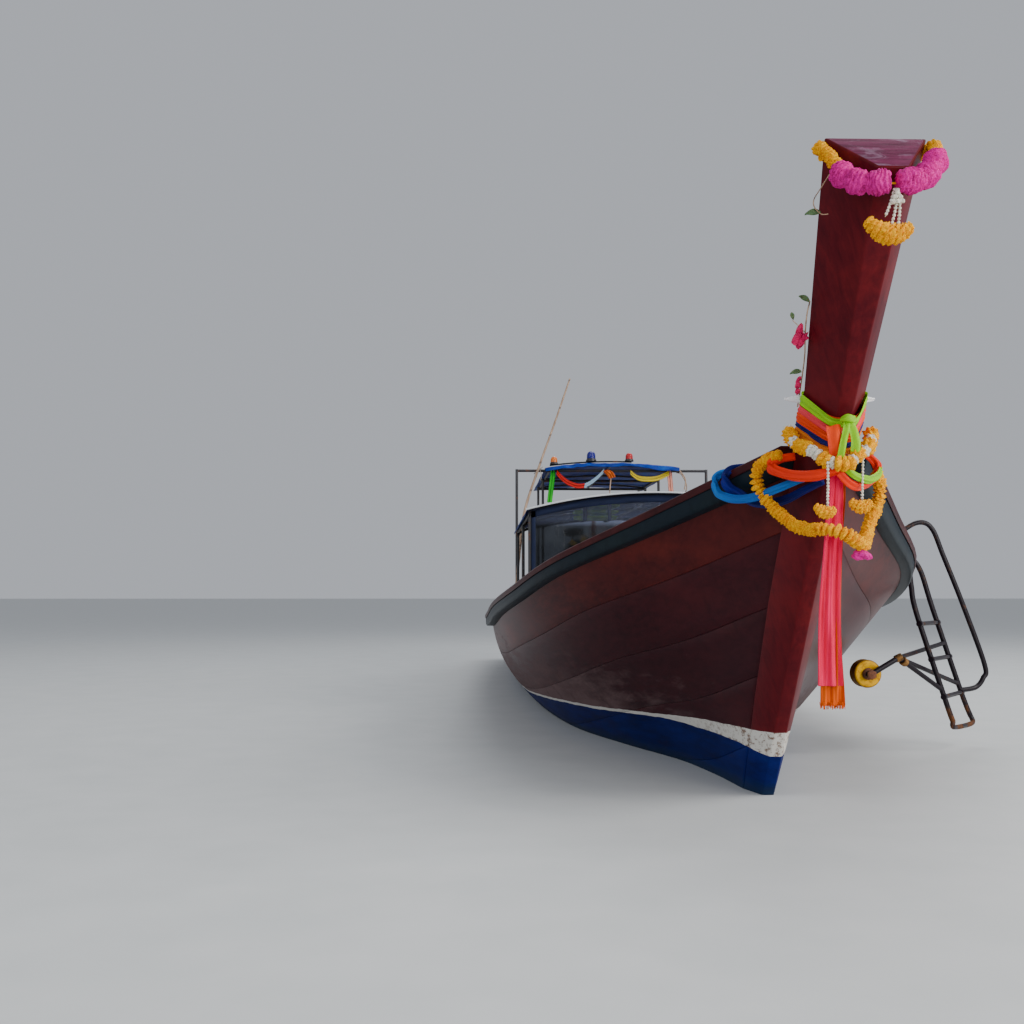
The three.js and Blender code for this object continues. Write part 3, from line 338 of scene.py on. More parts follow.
# Hull form: distance aft of the stem's foot, lean, rail half-breadth, sheer height, half-breadth afloat,
# keel height, keel half-width, height of the bilge's control point
hullForm = {
    "sections": (
        (0.172, 0.785, 0.165, 1.345, 0.072, -0.14, 0.06, 0.42),
        (0.6, 0.62, 0.54, 1.162, 0.116, -0.27, 0.052, 0.3),
        (1.1, 0.47, 0.9, 0.986, 0.205, -0.33, 0.048, 0.15),
        (1.7, 0.33, 1.092, 0.842, 0.4, -0.355, 0.046, -0.02),
        (2.5, 0.18, 1.19, 0.752, 0.62, -0.37, 0.046, -0.09),
        (3.4, 0.08, 1.222, 0.676, 0.74, -0.375, 0.046, -0.12),
        (4.5, 0.02, 1.234, 0.624, 0.815, -0.375, 0.046, -0.125),
        (6.0, 0.0, 1.226, 0.6, 0.85, -0.368, 0.046, -0.125),
        (7.5, 0.0, 1.18, 0.602, 0.835, -0.34, 0.046, -0.12),
        (9.0, -0.05, 1.085, 0.635, 0.76, -0.27, 0.046, -0.09),
        (10.4, -0.12, 0.95, 0.69, 0.64, -0.165, 0.046, -0.04),
    ),
    "bowFoot": 5.2,
    "stations": 64,
    "bowCrowding": 1.45,
    "curveSteps": 80,
    "plank": 0.028,
    "plankColumns": 6,
    "seam": 0.0004,
    "seamRound": 0.0035,
    "strakes": (("garboard", 0, 0.23), ("bottom", 0.23, 0.44), ("bilge", 0.44, 0.63),
                ("topside", 0.63, 0.82), ("sheer", 0.82, 1)),
    "railHeight": 0.068,
    "railThick": 0.062,
    "railTop": 0.018,
    "railDrop": 0.004,
    "railChamfer": 0.012,
    "skinGap": 0.0008,
    "capThick": 0.028,
    "capInside": 0.104,
    "capAtStem": 0.012,
    "capGap": 0.0004,
    "capLip": 0.0085,
}


def formAt(aft):
    rows = hullForm["sections"]
    last = len(rows) - 1
    i = max([k for k in range(last) if rows[k][0] <= aft + 1e-9])
    span = rows[i + 1][0] - rows[i][0]
    t = (aft - rows[i][0]) / span
    weights = (2 * t**3 - 3 * t**2 + 1, t**3 - 2 * t**2 + t, 3 * t**2 - 2 * t**3, t**3 - t**2)

    def slope(k, column):
        low, high = rows[max(k - 1, 0)], rows[min(k + 1, last)]
        return (high[column] - low[column]) / (high[0] - low[0])

    return [weights[0] * rows[i][c] + weights[1] * span * slope(i, c)
            + weights[2] * rows[i + 1][c] + weights[3] * span * slope(i + 1, c) for c in range(1, 8)]


class Section:
    def __init__(self, aft):
        self.aft = aft
        self.lean, rail, sheer, water, keel, keelHalf, turn = formAt(aft)
        topZ = sheer + hullForm["railHeight"]
        topY = rail - hullForm["railThick"]
        for _ in range(6):  # the curve passes through the waterline's half-breadth
            square = keel - 2 * turn + topZ
            linear = 2 * (turn - keel)
            root = math.sqrt(linear**2 - 4 * square * keel)
            t = -keel / linear if abs(square) < 1e-9 else (root - linear) / (2 * square)
            control = (water - keelHalf * (1 - t) ** 2 - topY * t**2) / (2 * t * (1 - t))
            topY = rail - hullForm["railThick"] + hullForm["railHeight"] * (topY - control) / (topZ - turn)
        self.ends = (Vector((keelHalf, keel)), Vector((control, turn)), Vector((topY, topZ)))
        steps = hullForm["curveSteps"]
        curve = [self.onCurve(k / steps) for k in range(steps + 1)]
        self.lengths = [0.0]
        for a, b in zip(curve, curve[1:]):
            self.lengths.append(self.lengths[-1] + (b - a).length)
        self.girth = self.lengths[-1]

    def onCurve(self, t):
        a, b, c = self.ends
        return a * (1 - t) ** 2 + b * 2 * t * (1 - t) + c * t**2

    # A point at a distance along the girth, moved inward
    def at(self, along, inward=0.0):
        steps = hullForm["curveSteps"]
        along = min(max(along, 0), self.girth)
        k = min(max(i for i, length in enumerate(self.lengths) if length <= along + 1e-9), steps - 1)
        t = (k + (along - self.lengths[k]) / (self.lengths[k + 1] - self.lengths[k])) / steps
        point = self.onCurve(t)
        a, b, c = self.ends
        tangent = ((b - a) * (1 - t) + (c - b) * t).normalized()
        if along > self.girth - 0.001:
            y, z = point.x - inward / tangent.y, point.y
        else:
            y, z = point.x - tangent.y * inward, point.y + tangent.x * inward
        return Vector((hullForm["bowFoot"] - self.aft + self.lean * z, y, z))


lastAft = hullForm["sections"][-1][0]
firstAft = hullForm["sections"][0][0]
sections = [Section(firstAft + (lastAft - firstAft) * (k / hullForm["stations"]) ** hullForm["bowCrowding"])
            for k in range(hullForm["stations"] + 1)]

maroonDark = (0.016, 0.0016, 0.0045)
maroon = (0.052, 0.006, 0.0105)
plankPaints = {
    "garboard": hullPaint("garboard_paint", maroonDark, maroon, (0.1, 0.07, 0.07), seed=1.0),
    "bottom": hullPaint("bottom_strake_paint", maroonDark, maroon, (0.13, 0.09, 0.09), seed=3.0, wear=0.55),
    "bilge": hullPaint("bilge_varnish", maroonDark, (0.045, 0.0065, 0.0105), (0.14, 0.085, 0.085), seed=5.5,
                       wear=0.66),
    "topside": hullPaint("topside_varnish", (0.018, 0.002, 0.005), (0.055, 0.007, 0.011), (0.14, 0.08, 0.08),
                         seed=8.0, wear=0.56),
    "sheer": hullPaint("sheer_varnish", (0.024, 0.0025, 0.005), (0.092, 0.011, 0.01), (0.14, 0.075, 0.07),
                       seed=11.0, wear=0.42),
}
insideWood = bareWood("inside_wood", (0.1, 0.06, 0.035), (0.3, 0.2, 0.12), seed=2.0)
for strake, low, high in hullForm["strakes"]:
    seam = hullForm["seam"] / 2
    plank = hullForm["plank"]
    columns = hullForm["plankColumns"]
    rings = []
    for section in sections:
        girth = section.girth
        start, span = low * girth + seam, (high - low) * girth
        outer = [section.at(start + span * k / columns - 2 * seam * k / columns) for k in range(columns + 1)]
        rings.append(outer + [section.at(high * girth - seam, plank), section.at(low * girth + seam, plank)])
    for side, bm in bothSides(rings):
        roundEdges(bm, hullForm["seamRound"], angle=50)
        for face in bm.faces:  # bare wood inside the hull
            inward = face.normal.y * (1 if side == "port" else -1)
            if inward < -0.25 and face.calc_area() > 0.0005:
                face.material_index = 1
        finishPiece(bm, f"{strake}_planks_{side}", [plankPaints[strake], insideWood],
                    f"{strake}_strake_{side}")
print("planks laid")

# Rub rail and gunwale cap
railPaint = hullPaint("rail_paint", (0.0035, 0.0065, 0.0105), (0.009, 0.0165, 0.0245), (0.1, 0.13, 0.145),
                      gloss=0.4, wear=0.5, seed=4.0)
capPaint = hullPaint("cap_varnish", (0.02, 0.004, 0.006), (0.06, 0.012, 0.014), (0.14, 0.08, 0.06),
                     gloss=0.36, wear=0.5, seed=6.0)
railRings, capRings = [], []
for section in sections:
    lean, chamfer = section.lean, hullForm["railChamfer"]
    low = section.at(section.girth - hullForm["railHeight"] - hullForm["railDrop"], -hullForm["skinGap"])
    top = section.at(section.girth, -hullForm["skinGap"])
    thick = hullForm["railThick"]
    outer = max(low.y + thick, top.y + hullForm["railTop"])
    railRings.append([low, top, Vector((top.x, outer - 0.003, top.z)),
                      Vector((top.x - chamfer * lean, outer + 0.002, top.z - chamfer)),
                      Vector((low.x + chamfer * lean, low.y + thick, low.z + chamfer)),
                      Vector((low.x, low.y + thick - 0.007, low.z))])
    inside = max(section.at(section.girth).y - hullForm["capInside"], hullForm["capAtStem"])
    cap, lip, gap = hullForm["capThick"], hullForm["capLip"], hullForm["capGap"]
    profile = ((inside, 0), (outer + 0.0025, 0), (outer + 0.0025, -lip), (outer + 0.008, -lip),
               (outer + 0.009, cap - 0.009), (outer + 0.001, cap), (inside, cap))
    capRings.append([Vector((top.x + lean * (up + gap), y, top.z + gap + up)) for y, up in profile])
for name, rings, mat, slot in (("rub_rail", railRings, railPaint, "rail_paint"),
                               ("gunwale_cap", capRings, capPaint, "cap_wood")):
    for side, bm in bothSides(rings):
        roundEdges(bm, 0.004, angle=35)
        finishPiece(bm, f"{name}_{side}_shaped", mat, f"{name}_{side}", smooth=30)
print("rails and caps fitted")

# Stem post with eased corners and a weathered top. Its slope is the rise for each metre ahead.
stemForm = {"corner": 0.006, "headReach": 0.12, "slope": 1.274, "depth": 0.17}
stemPaint = hullPaint("stem_varnish_paint", (0.032, 0.002, 0.006), (0.125, 0.008, 0.012),
                      (0.15, 0.06, 0.055), along=2, gloss=0.42, wear=0.2, seed=9.0)
bm = cadShape("stem_post", flatten=0.4)
headFace = max(bm.faces, key=lambda face: face.calc_center_median().z)
headNormal = headFace.normal.copy()
headMiddle = headFace.calc_center_median()
roundEdges(bm, stemForm["corner"], segments=3, angle=18)
for face in bm.faces:
    fromMiddle = (face.calc_center_median() - headMiddle).length
    if face.normal.dot(headNormal) > 0.995 and fromMiddle < stemForm["headReach"]:
        face.material_index = 1
headTop = startMaterial("weathered_stem_head", Specular_IOR_Level=0.1)
grain = grainOf(headTop, along=1, fine=50, slow=5)
salt = noiseOf(headTop, objectCoords(headTop, scale=(1, 0.5, 1)), 16, detail=8, roughness=0.7,
               distortion=1.5)
wood = rampOf(headTop, grain, (0.35, (0.06, 0.008, 0.026)), (0.7, (0.17, 0.028, 0.08)))
coat(headTop, mixOf(headTop, rampOf(headTop, salt, (0.52, 0.0), (0.7, 0.5)), wood, (0.3, 0.22, 0.3)), 0.55,
     grain, 0.3, 0.002)
finishPiece(bm, "stem_post_shaped", [stemPaint, headTop], "stem_post")
print("stem shaped")


def mergeInto(target, part):
    carrier = bpy.data.meshes.new("carrier")
    part.to_mesh(carrier)
    part.free()
    target.from_mesh(carrier)
    bpy.data.meshes.remove(carrier)


# Boards: a CAD layer is cut into boards along one axis, each with its own tone
def layBoards(nodeName, axis, boardWidth, gap, mat, ease=0.003):
    whole = cadShape(nodeName)
    low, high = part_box(nodeName)
    count = max(1, round((high[axis] - low[axis]) / boardWidth))
    step = (high[axis] - low[axis]) / count
    boards = bmesh.new()
    boards.verts.layers.float.new("board")
    normal = Vector([1.0 if i == axis else 0.0 for i in range(3)])
    for k in range(count):
        part = whole.copy()
        tone = part.verts.layers.float.new("board")
        for place, keepAbove in ((low[axis] + k * step + gap / 2, True),
                                 (low[axis] + (k + 1) * step - gap / 2, False)):
            bmesh.ops.bisect_plane(part, geom=part.verts[:] + part.edges[:] + part.faces[:],
                                   plane_co=normal * place, plane_no=normal, clear_inner=keepAbove,
                                   clear_outer=not keepAbove)
            bmesh.ops.holes_fill(part, edges=[e for e in part.edges if e.is_boundary])
        if not part.faces:
            part.free()
            continue
        bmesh.ops.recalc_face_normals(part, faces=part.faces)
        roundEdges(part, ease, segments=2, angle=45)
        value = dice.random()
        for v in part.verts:
            v[tone] = value
        mergeInto(boards, part)
    whole.free()
    return finishPiece(boards, f"{nodeName}_boards", mat, nodeName, smooth=30)


def fromCad(nodeName, mat, ease, body="boat", angle=40):
    bm = cadShape(nodeName)
    roundEdges(bm, ease, angle=angle)
    return finishPiece(bm, f"{nodeName}_shaped", mat, nodeName, body, smooth=30)


crossBoards = bareWood("cross_boards", (0.09, 0.055, 0.035), (0.32, 0.23, 0.15), along=1, seed=1.0)
longBoards = bareWood("long_boards", (0.1, 0.065, 0.04), (0.34, 0.25, 0.17), along=0, seed=4.0)
seatBoards = bareWood("seat_boards", (0.1, 0.045, 0.025), (0.36, 0.2, 0.11), along=1, seed=7.0, rough=0.5,
                      gloss=0.25)
frameWood = bareWood("frame_wood", (0.08, 0.05, 0.03), (0.28, 0.19, 0.12), along=1, seed=9.0)
layBoards("foredeck", 0, 0.145, 0.004, crossBoards)
layBoards("sole_boards", 1, 0.15, 0.005, longBoards)
layBoards("aft_platform", 1, 0.16, 0.004, longBoards)
layBoards("aft_bulkhead", 1, 0.19, 0.003, frameWood)
for k in range(1, 6):
    layBoards(f"thwart_{k}", 0, 0.13, 0.004, seatBoards, ease=0.005)
fromCad("frames", frameWood, ease=0.003, angle=55)
fromCad("engine_beam", seatBoards, ease=0.006)
fromCad("keel", plankPaints["garboard"], ease=0.006, angle=30)
fromCad("transom", plankPaints["sheer"], ease=0.005)
print("decks and seats boarded")


# Pipes, tubes and cords: smooth lines with a round section
def smoothLine(points, steps=6, cyclic=False):
    points = [Vector(p) for p in points]
    count = len(points)
    line = []
    for k in range(count if cyclic else count - 1):
        picks = [(k + s) % count if cyclic else min(max(k + s, 0), count - 1) for s in (-1, 0, 1, 2)]
        a, b, c, d = [points[i] for i in picks]
        for n in range(steps):
            t = n / steps
            square, cube = 2 * a - 5 * b + 4 * c - d, 3 * b - a - 3 * c + d
            line.append(0.5 * (2 * b + (c - a) * t + square * t * t + cube * t**3))
    return line if cyclic else line + [points[-1]]


def lineLength(line):
    return sum((b - a).length for a, b in zip(line, line[1:]))


def wayAt(line, k):
    return (line[min(k + 1, len(line) - 1)] - line[max(k - 1, 0)]).normalized()


def facing(way):
    return Vector((0, 0, 1)).rotation_difference(Vector(way)).to_matrix().to_4x4()


def pipeRuns(runs, roundness=3):
    curve = bpy.data.curves.new("pipe_runs", "CURVE")
    curve.dimensions = "3D"
    curve.bevel_depth = 1.0
    curve.bevel_resolution = roundness
    curve.use_fill_caps = True
    for points, radius in runs:
        spline = curve.splines.new("POLY")
        spline.points.add(len(points) - 1)
        for k, point in enumerate(points):
            spline.points[k].co = (*point, 1)
            spline.points[k].radius = radius[k] if hasattr(radius, "__len__") else radius
    holder = bpy.data.objects.new("pipe_runs", curve)
    scene.collection.objects.link(holder)
    drawn = bpy.data.meshes.new_from_object(holder.evaluated_get(bpy.context.evaluated_depsgraph_get()))
    bm = bmesh.new()
    bm.from_mesh(drawn)
    bpy.data.objects.remove(holder)
    bpy.data.meshes.remove(drawn)
    bmesh.ops.remove_doubles(bm, verts=bm.verts, dist=1e-5)
    bmesh.ops.recalc_face_normals(bm, faces=bm.faces)
    return bm


def turned(profile, place, axis, sides=24):
    bm = bmesh.new()
    verts = [bm.verts.new((r, 0, h)) for r, h in profile]
    edges = [bm.edges.new(pair) for pair in zip(verts, verts[1:])]
    bmesh.ops.spin(bm, geom=verts + edges, cent=(0, 0, 0), axis=(0, 0, 1), angle=math.tau, steps=sides,
                   use_merge=True)
    bmesh.ops.remove_doubles(bm, verts=bm.verts, dist=1e-5)
    bmesh.ops.recalc_face_normals(bm, faces=bm.faces)
    bmesh.ops.transform(bm, matrix=Matrix.Translation(place) @ facing(axis), verts=bm.verts)
    return bm


def arch(crown, eave, half, y):
    return crown - (crown - eave) * (y / half) ** 2


steelDark = paintedMetal("black_pipe_paint", (0.011, 0.007, 0.011), rust=0.16, rough=0.34, seed=2.0,
                         shine=0.22, rustColour=(0.16, 0.06, 0.022), foot=(0.36, 0.15))
steelCanopy = paintedMetal("canopy_pipe_paint", (0.025, 0.024, 0.028), rust=0.2, rough=0.42, seed=5.0)

# Front canopy: three hoops with five rails and round foot plates
frontCanopy = {
    "hoops": ((2.02, 0.5792), (0.66, 0.2984), (-0.73, 0.2984)),
    "postY": 0.925, "eave": 1.478, "crown": 1.596, "tube": 0.014, "rail": 0.011,
    "roofFore": 2.085, "roofAft": -0.8, "roofHalf": 0.958, "roofLift": 0.022,
    "sag": 0.012, "hem": 0.05,
    "plate": ((0, 0.0006), (0.036, 0.0006), (0.038, 0.003), (0.038, 0.006), (0.036, 0.008), (0.019, 0.009),
              (0.016, 0.022), (0.0145, 0.023)),
}


def frontArch(y):
    return arch(frontCanopy["crown"], frontCanopy["eave"], frontCanopy["postY"], y)


# How far cloth sags between two bows: 0 at the bows, 1 midway
def bayDip(x, bays):
    for a, b in zip(bays, bays[1:]):
        if b < x < a:
            return math.sin(math.pi * (x - b) / (a - b)) ** 2
    return 0.0


postY = frontCanopy["postY"]
runs = []
for x, foot in frontCanopy["hoops"]:
    over = [(x, postY * k / 12, frontArch(postY * k / 12)) for k in range(-12, 13)]
    top = over[-1][2]
    starboard, port = [[(x, side * postY, foot + 0.001), (x, side * postY, top - 0.05),
                        (x, side * (postY - 0.008), top - 0.016)] for side in (-1, 1)]
    runs.append((starboard + over[1:-1] + port[::-1], frontCanopy["tube"]))
foreX, aftX = frontCanopy["hoops"][0][0], frontCanopy["hoops"][-1][0]
for share in (-1, -0.5, 0, 0.5, 1):
    y = postY * share
    z = frontArch(y)
    if abs(share) == 1:  # the outer rails lie in the hoops' bends
        z -= 0.006
        y -= math.copysign(0.004, y)
    runs.append(([(foreX, y, z), (aftX, y, z)], frontCanopy["rail"]))
bm = pipeRuns(runs)
for x, foot in frontCanopy["hoops"]:
    for side in (-1, 1):
        mergeInto(bm, turned(frontCanopy["plate"], (x, side * postY, foot), (0, 0, 1), sides=20))
finishPiece(bm, "front_canopy_pipes", steelCanopy, "front_canopy_frame", smooth=50)


# Cloth and ribbons: rows of points become a thin sheet with its size in its UV map
def clothPiece(rows, name, mat, replaced=None, thick=0.002, soft=1):
    lengths = [lineLength([row[j] for row in rows]) for j in range(len(rows[0]))]
    widths = [lineLength(row) for row in rows]
    length, width = sum(lengths) / len(lengths), sum(widths) / len(widths)
    bm = sweep(rows, closed=False)
    sizeUv(bm, length, width)
    bmesh.ops.recalc_face_normals(bm, faces=bm.faces)
    piece = finishPiece(bm, name, mat, replaced, smooth=180)
    thicken(piece, thick)
    if soft:
        soften(piece, soft)
    return piece


# Each cloth's second colour is painted shade in its folds
tarpNavy = cloth("front_roof_cloth", (0.006, 0.028, 0.18), (0.002, 0.011, 0.08), rough=0.65, sheen=0.03,
                 shadeBlend=0.3, creases=(2.2, 3.5))
piping = cloth("roof_piping", (0.62, 0.66, 0.7), (0.4, 0.42, 0.45), rough=0.6, sheen=0.1)
bays = [x for x, foot in frontCanopy["hoops"]]
rows = []
for k in range(49):
    x = frontCanopy["roofFore"] + (frontCanopy["roofAft"] - frontCanopy["roofFore"]) * k / 48
    row = []
    for j in range(-20, 21):
        y = frontCanopy["roofHalf"] * j / 20
        slack = math.sin(math.pi * abs(j) / 20 * 2) ** 2
        z = frontArch(y) + frontCanopy["roofLift"] - 0.004
        z -= frontCanopy["sag"] * bayDip(x, bays) * slack
        z += 0.004 * (noise.noise(Vector((x * 5, y * 6, 0.3))) * slack)
        row.append(Vector((x, y, z)))
    for side in (0, -1):  # the hem turns down over the outer rail
        edge = row[side].copy()
        edge.z -= frontCanopy["hem"] * (0.8 + 0.2 * noise.noise(Vector((x * 7, side, 0))))
        edge.y += 0.002 * (-1 if side == 0 else 1)
        row = [edge] + row if side == 0 else row + [edge]
    rows.append(row)
clothPiece(rows, "front_roof_sheet", tarpNavy,
           "front_canopy_roof", thick=0.003)
edge = [Vector((frontCanopy["roofFore"] + 0.001, y, frontArch(y) + frontCanopy["roofLift"] - 0.002))
        for y in [step * 0.001 for step in range(-957, 958, 58)]]
finishPiece(pipeRuns([(edge, 0.0065)], 2), "front_roof_piping", piping, smooth=60)

# Clear sheet under the front hoop with taped edges
clearSheet = startMaterial("clear_vinyl", Transmission_Weight=0.92, IOR=1.12, Specular_IOR_Level=0.5,
                           Coat_Weight=0.2)
ripples = noiseOf(clearSheet, objectCoords(clearSheet, scale=(1, 3, 1.2)), 3.2, detail=4)
haze = noiseOf(clearSheet, objectCoords(clearSheet), 7, detail=6)
# painted shade: the dark tint stands in for the shaded shelter behind the sheet; near the top it turns pale
# blue, painted light for the roof's underside seen in the sheet
paintedShadeTint = rampOf(clearSheet, haze, (0.3, (0.035, 0.04, 0.05)), (0.8, (0.085, 0.095, 0.11)))
roofLightMask = spread(clearSheet, axisOf(clearSheet, objectCoords(clearSheet), 2), 1.37, 1.42)
coat(clearSheet, mixOf(clearSheet, roofLightMask, paintedShadeTint, (0.3, 0.34, 0.48)),
     rampOf(clearSheet, haze, (0.35, 0.04), (0.8, 0.16)), ripples, 0.5, 0.02)
pane = {"x": 2.0372, "low": 0.692, "half": 0.915, "thick": 0.002, "tape": 0.03, "topTape": 0.052,
        "tapeLift": 0.003}
rows = []
for k in range(-24, 25):
    y = pane["half"] * k / 24
    top = frontArch(y) + 0.002
    rows.append([Vector((pane["x"] + 0.0015 * noise.noise(Vector((y * 4, h * 0.4, 0))), y,
                         pane["low"] + (top - pane["low"]) * h / 14)) for h in range(15)])
clothPiece(rows, "clear_front_sheet", clearSheet,
           "front_clear_sheet", thick=pane["thick"], soft=0)
tape = cloth("sheet_tape", (0.012, 0.02, 0.06), threads=600, rough=0.7)
tapeX = pane["x"] + pane["tapeLift"]
bands = []
for side in (-1, 1):
    y = side * pane["half"]
    rise = frontArch(y) - pane["low"]
    bands.append([[Vector((tapeX, y - side * pane["tape"] * j / 2, pane["low"] + rise * h / 10))
                   for j in range(3)] for h in range(11)])
across = [pane["half"] * k / 12 for k in range(-12, 13)]
bands.append([[Vector((tapeX, y, pane["low"] + 0.002 + pane["tape"] * j / 2)) for j in range(3)]
              for y in across])
bands.append([[Vector((tapeX, y, frontArch(y) - pane["topTape"] * j / 2 + 0.004)) for j in range(3)]
              for y in across])
for k, rows in enumerate(bands):
    clothPiece(rows, f"sheet_tape_{k + 1}", tape,
               thick=0.0012, soft=0)
print("front canopy covered")

# Life vests: three padded slabs in a stack, strapped to the roof rail
vests = {"middle": (1.79, -0.43, 1.49), "size": (0.29, 0.32, 0.04), "layers": 3, "tilt": 4,
         "straps": (-0.52, -0.34), "strapHalf": 0.014}
vestCloth = cloth("vest_cloth", (0.6, 0.95, 0.02), (0.28, 0.5, 0.01), threads=700, rough=0.75, sheen=0.3)
strapBlack = cloth("black_webbing", (0.012, 0.012, 0.014), threads=500, rough=0.8)
stack = bmesh.new()
stack.loops.layers.uv.new("UVMap")
for layer in range(vests["layers"]):
    pad = bmesh.new()
    pad.loops.layers.uv.new("UVMap")
    bmesh.ops.create_cube(pad, size=1, calc_uvs=True)
    bmesh.ops.subdivide_edges(pad, edges=pad.edges[:], cuts=7, use_grid_fill=True)
    for v in pad.verts:
        u, w = v.co.x * 2, v.co.y * 2
        swell = (1 - abs(u) ** 4) * (1 - abs(w) ** 4)
        panel = 1 - 0.45 * math.exp(-((abs(w) - 0.33) / 0.07) ** 2)
        v.co.z *= (0.35 + 0.65 * swell) * panel
        v.co.x *= 1 - 0.05 * abs(w) ** 2
        v.co = Vector((v.co.x * vests["size"][0], v.co.y * vests["size"][1], v.co.z * vests["size"][2]))
        lump = 0.004 * noise.noise(v.co * 14 + Vector((layer, 0, 0)))
        v.co.z += (layer - 1) * (vests["size"][2] + 0.001) + lump
    turn = Matrix.Rotation(math.radians((layer - 1) * vests["tilt"]), 4, "Z")
    bmesh.ops.transform(pad, matrix=Matrix.Translation(vests["middle"]) @ turn, verts=pad.verts)
    mergeInto(stack, pad)
vestPiece = finishPiece(stack, "vest_stack", vestCloth, "life_vests", smooth=180)
soften(vestPiece)
strapLoop = ((-0.15, 0), (-0.14, 0.062), (0, 0.066), (0.14, 0.062), (0.15, 0), (0.14, -0.062), (0, -0.066),
             (-0.14, -0.062), (-0.15, 0))
for k, y in enumerate(vests["straps"]):
    x, z = vests["middle"][0], vests["middle"][2]
    line = smoothLine([(x + dx, y, z + dz) for dx, dz in strapLoop], 4)
    rows = [[p + Vector((0, w, 0)) for w in (-vests["strapHalf"], 0, vests["strapHalf"])] for p in line]
    clothPiece(rows, f"vest_strap_{k + 1}", strapBlack,
               thick=0.002, soft=0)
print("vests stowed")

# Aft canopy: posts, cross bars, arched bows and battens
aftCanopy = {
    "hoops": ((-0.95, 0.2984, 0.93), (-2.0, 0.305, 0.62), (-3.0, 0.305, 0.62)),
    "bar": 2.084, "crown": 2.14, "bowRise": 0.012, "bowHalf": 0.63, "tube": 0.014,
    "batten": 0.01, "battenY": 0.6, "battenFore": -0.91, "battenAft": -3.5,
    "roofFore": -0.86, "roofAft": -3.56, "roofHalf": 0.655, "roofCrown": 2.1507, "roofEave": 2.1057,
    "flap": 0.05, "sag": 0.016,
    "plate": ((0, 0.0006), (0.025, 0.0006), (0.027, 0.003), (0.027, 0.006), (0.024, 0.008), (0.018, 0.009),
              (0.0145, 0.02)),
}


def aftBow(y):
    return arch(aftCanopy["crown"], aftCanopy["bar"] + aftCanopy["bowRise"], aftCanopy["bowHalf"], y)


def aftRoof(y):
    return arch(aftCanopy["roofCrown"], aftCanopy["roofEave"], aftCanopy["roofHalf"], y)


runs, plates = [], []
for x, foot, y in aftCanopy["hoops"]:
    for side in (-1, 1):
        runs.append(([(x, side * y, foot + 0.001), (x, side * y, aftCanopy["bar"] + 0.014)],
                     aftCanopy["tube"]))
        plates.append(turned(aftCanopy["plate"], (x, side * y, foot), (0, 0, 1), sides=20))
    runs.append(([(x, -y, aftCanopy["bar"]), (x, y, aftCanopy["bar"])], aftCanopy["tube"]))
    bow = [aftCanopy["bowHalf"] * k / 8 for k in range(-8, 9)]
    runs.append(([(x, across, aftBow(across)) for across in bow], aftCanopy["batten"]))
for y in (-aftCanopy["battenY"], 0, aftCanopy["battenY"]):
    batten = [(x, y, aftBow(y)) for x in (aftCanopy["battenFore"], aftCanopy["battenAft"])]
    runs.append((batten, aftCanopy["batten"]))
bm = pipeRuns(runs)
for plate in plates:
    mergeInto(bm, plate)
finishPiece(bm, "aft_canopy_pipes", steelCanopy, "aft_canopy_frame", smooth=50)

# Blue tarpaulin, slack between the bows and bunched along its front edge
# Its second colour is painted shade in the folds and its bright colour a painted highlight on the fold
# crests
tarpBlue = cloth("blue_tarpaulin", (0.002, 0.035, 0.3), (0.0006, 0.007, 0.09), threads=500, rough=0.5,
                 sheen=0.03, litColour=(0.008, 0.14, 0.5), shadeBlend=0.26, creases=(2.4, 4.5))
bays = [x for x, foot, y in aftCanopy["hoops"]] + [aftCanopy["roofAft"]]
rows = []
for k in range(-4, 61):
    x = aftCanopy["roofFore"] + (aftCanopy["roofAft"] - aftCanopy["roofFore"]) * max(k, 0) / 60
    front = math.exp(-max(k, 0) / 6)
    row = []
    for j in range(-22, 23):
        y = aftCanopy["roofHalf"] * j / 22
        slack = math.sin(math.pi * abs(j) / 22) ** 2
        z = aftRoof(y) + 0.004
        z -= aftCanopy["sag"] * bayDip(x, bays) * (0.4 + slack)
        bunch = front * 0.012 * noise.noise(Vector((x * 9, y * 16, 1.0)))
        z += bunch + 0.004 * noise.noise(Vector((x * 3, y * 5, 2.0)))
        if k < 0:  # the flap hangs over the front bar in loose folds
            drop = aftCanopy["flap"] * (0.75 + 0.5 * noise.noise(Vector((y * 3.1, 0, 4.0))))
            z += drop * k / 4
        wave = 0.012 * noise.noise(Vector((y * 13, k * 0.15, 7.0))) * (front if k >= 0 else 1 - k * 0.25)
        row.append(Vector((x + (0.012 * -k / 4 if k < 0 else 0) + wave, y, z)))
    rows.append(row)
clothPiece(rows, "tarpaulin", tarpBlue, "aft_canopy_roof")
print("aft canopy covered")

# Roof lamps: a batten with three turned domes on black bases
roofLamps = {
    "x": -0.9,
    "places": (("orange", (0.95, 0.22, 0.02), -0.568, 0.85), ("blue", (0.003, 0.004, 0.24), -0.205, 1.1),
               ("red", (0.6, 0.006, 0.012), 0.167, 0.92)),
    "base": ((0, 0), (0.046, 0), (0.047, 0.003), (0.047, 0.014), (0.044, 0.018), (0.041, 0.02),
             (0.04, 0.026), (0, 0.026)),
    "dome": ((0, 0.024), (0.0385, 0.0245), (0.0395, 0.03), (0.0385, 0.056), (0.036, 0.068), (0.03, 0.08),
             (0.019, 0.0885), (0.008, 0.0915), (0, 0.092)),
}


def lampShape(part, y, size, sides):
    profile = [(r * min(size, 1.1), h * size) for r, h in roofLamps[part]]
    return turned(profile, (roofLamps["x"], y, aftRoof(y) + 0.0231), (0, 0, 1), sides)


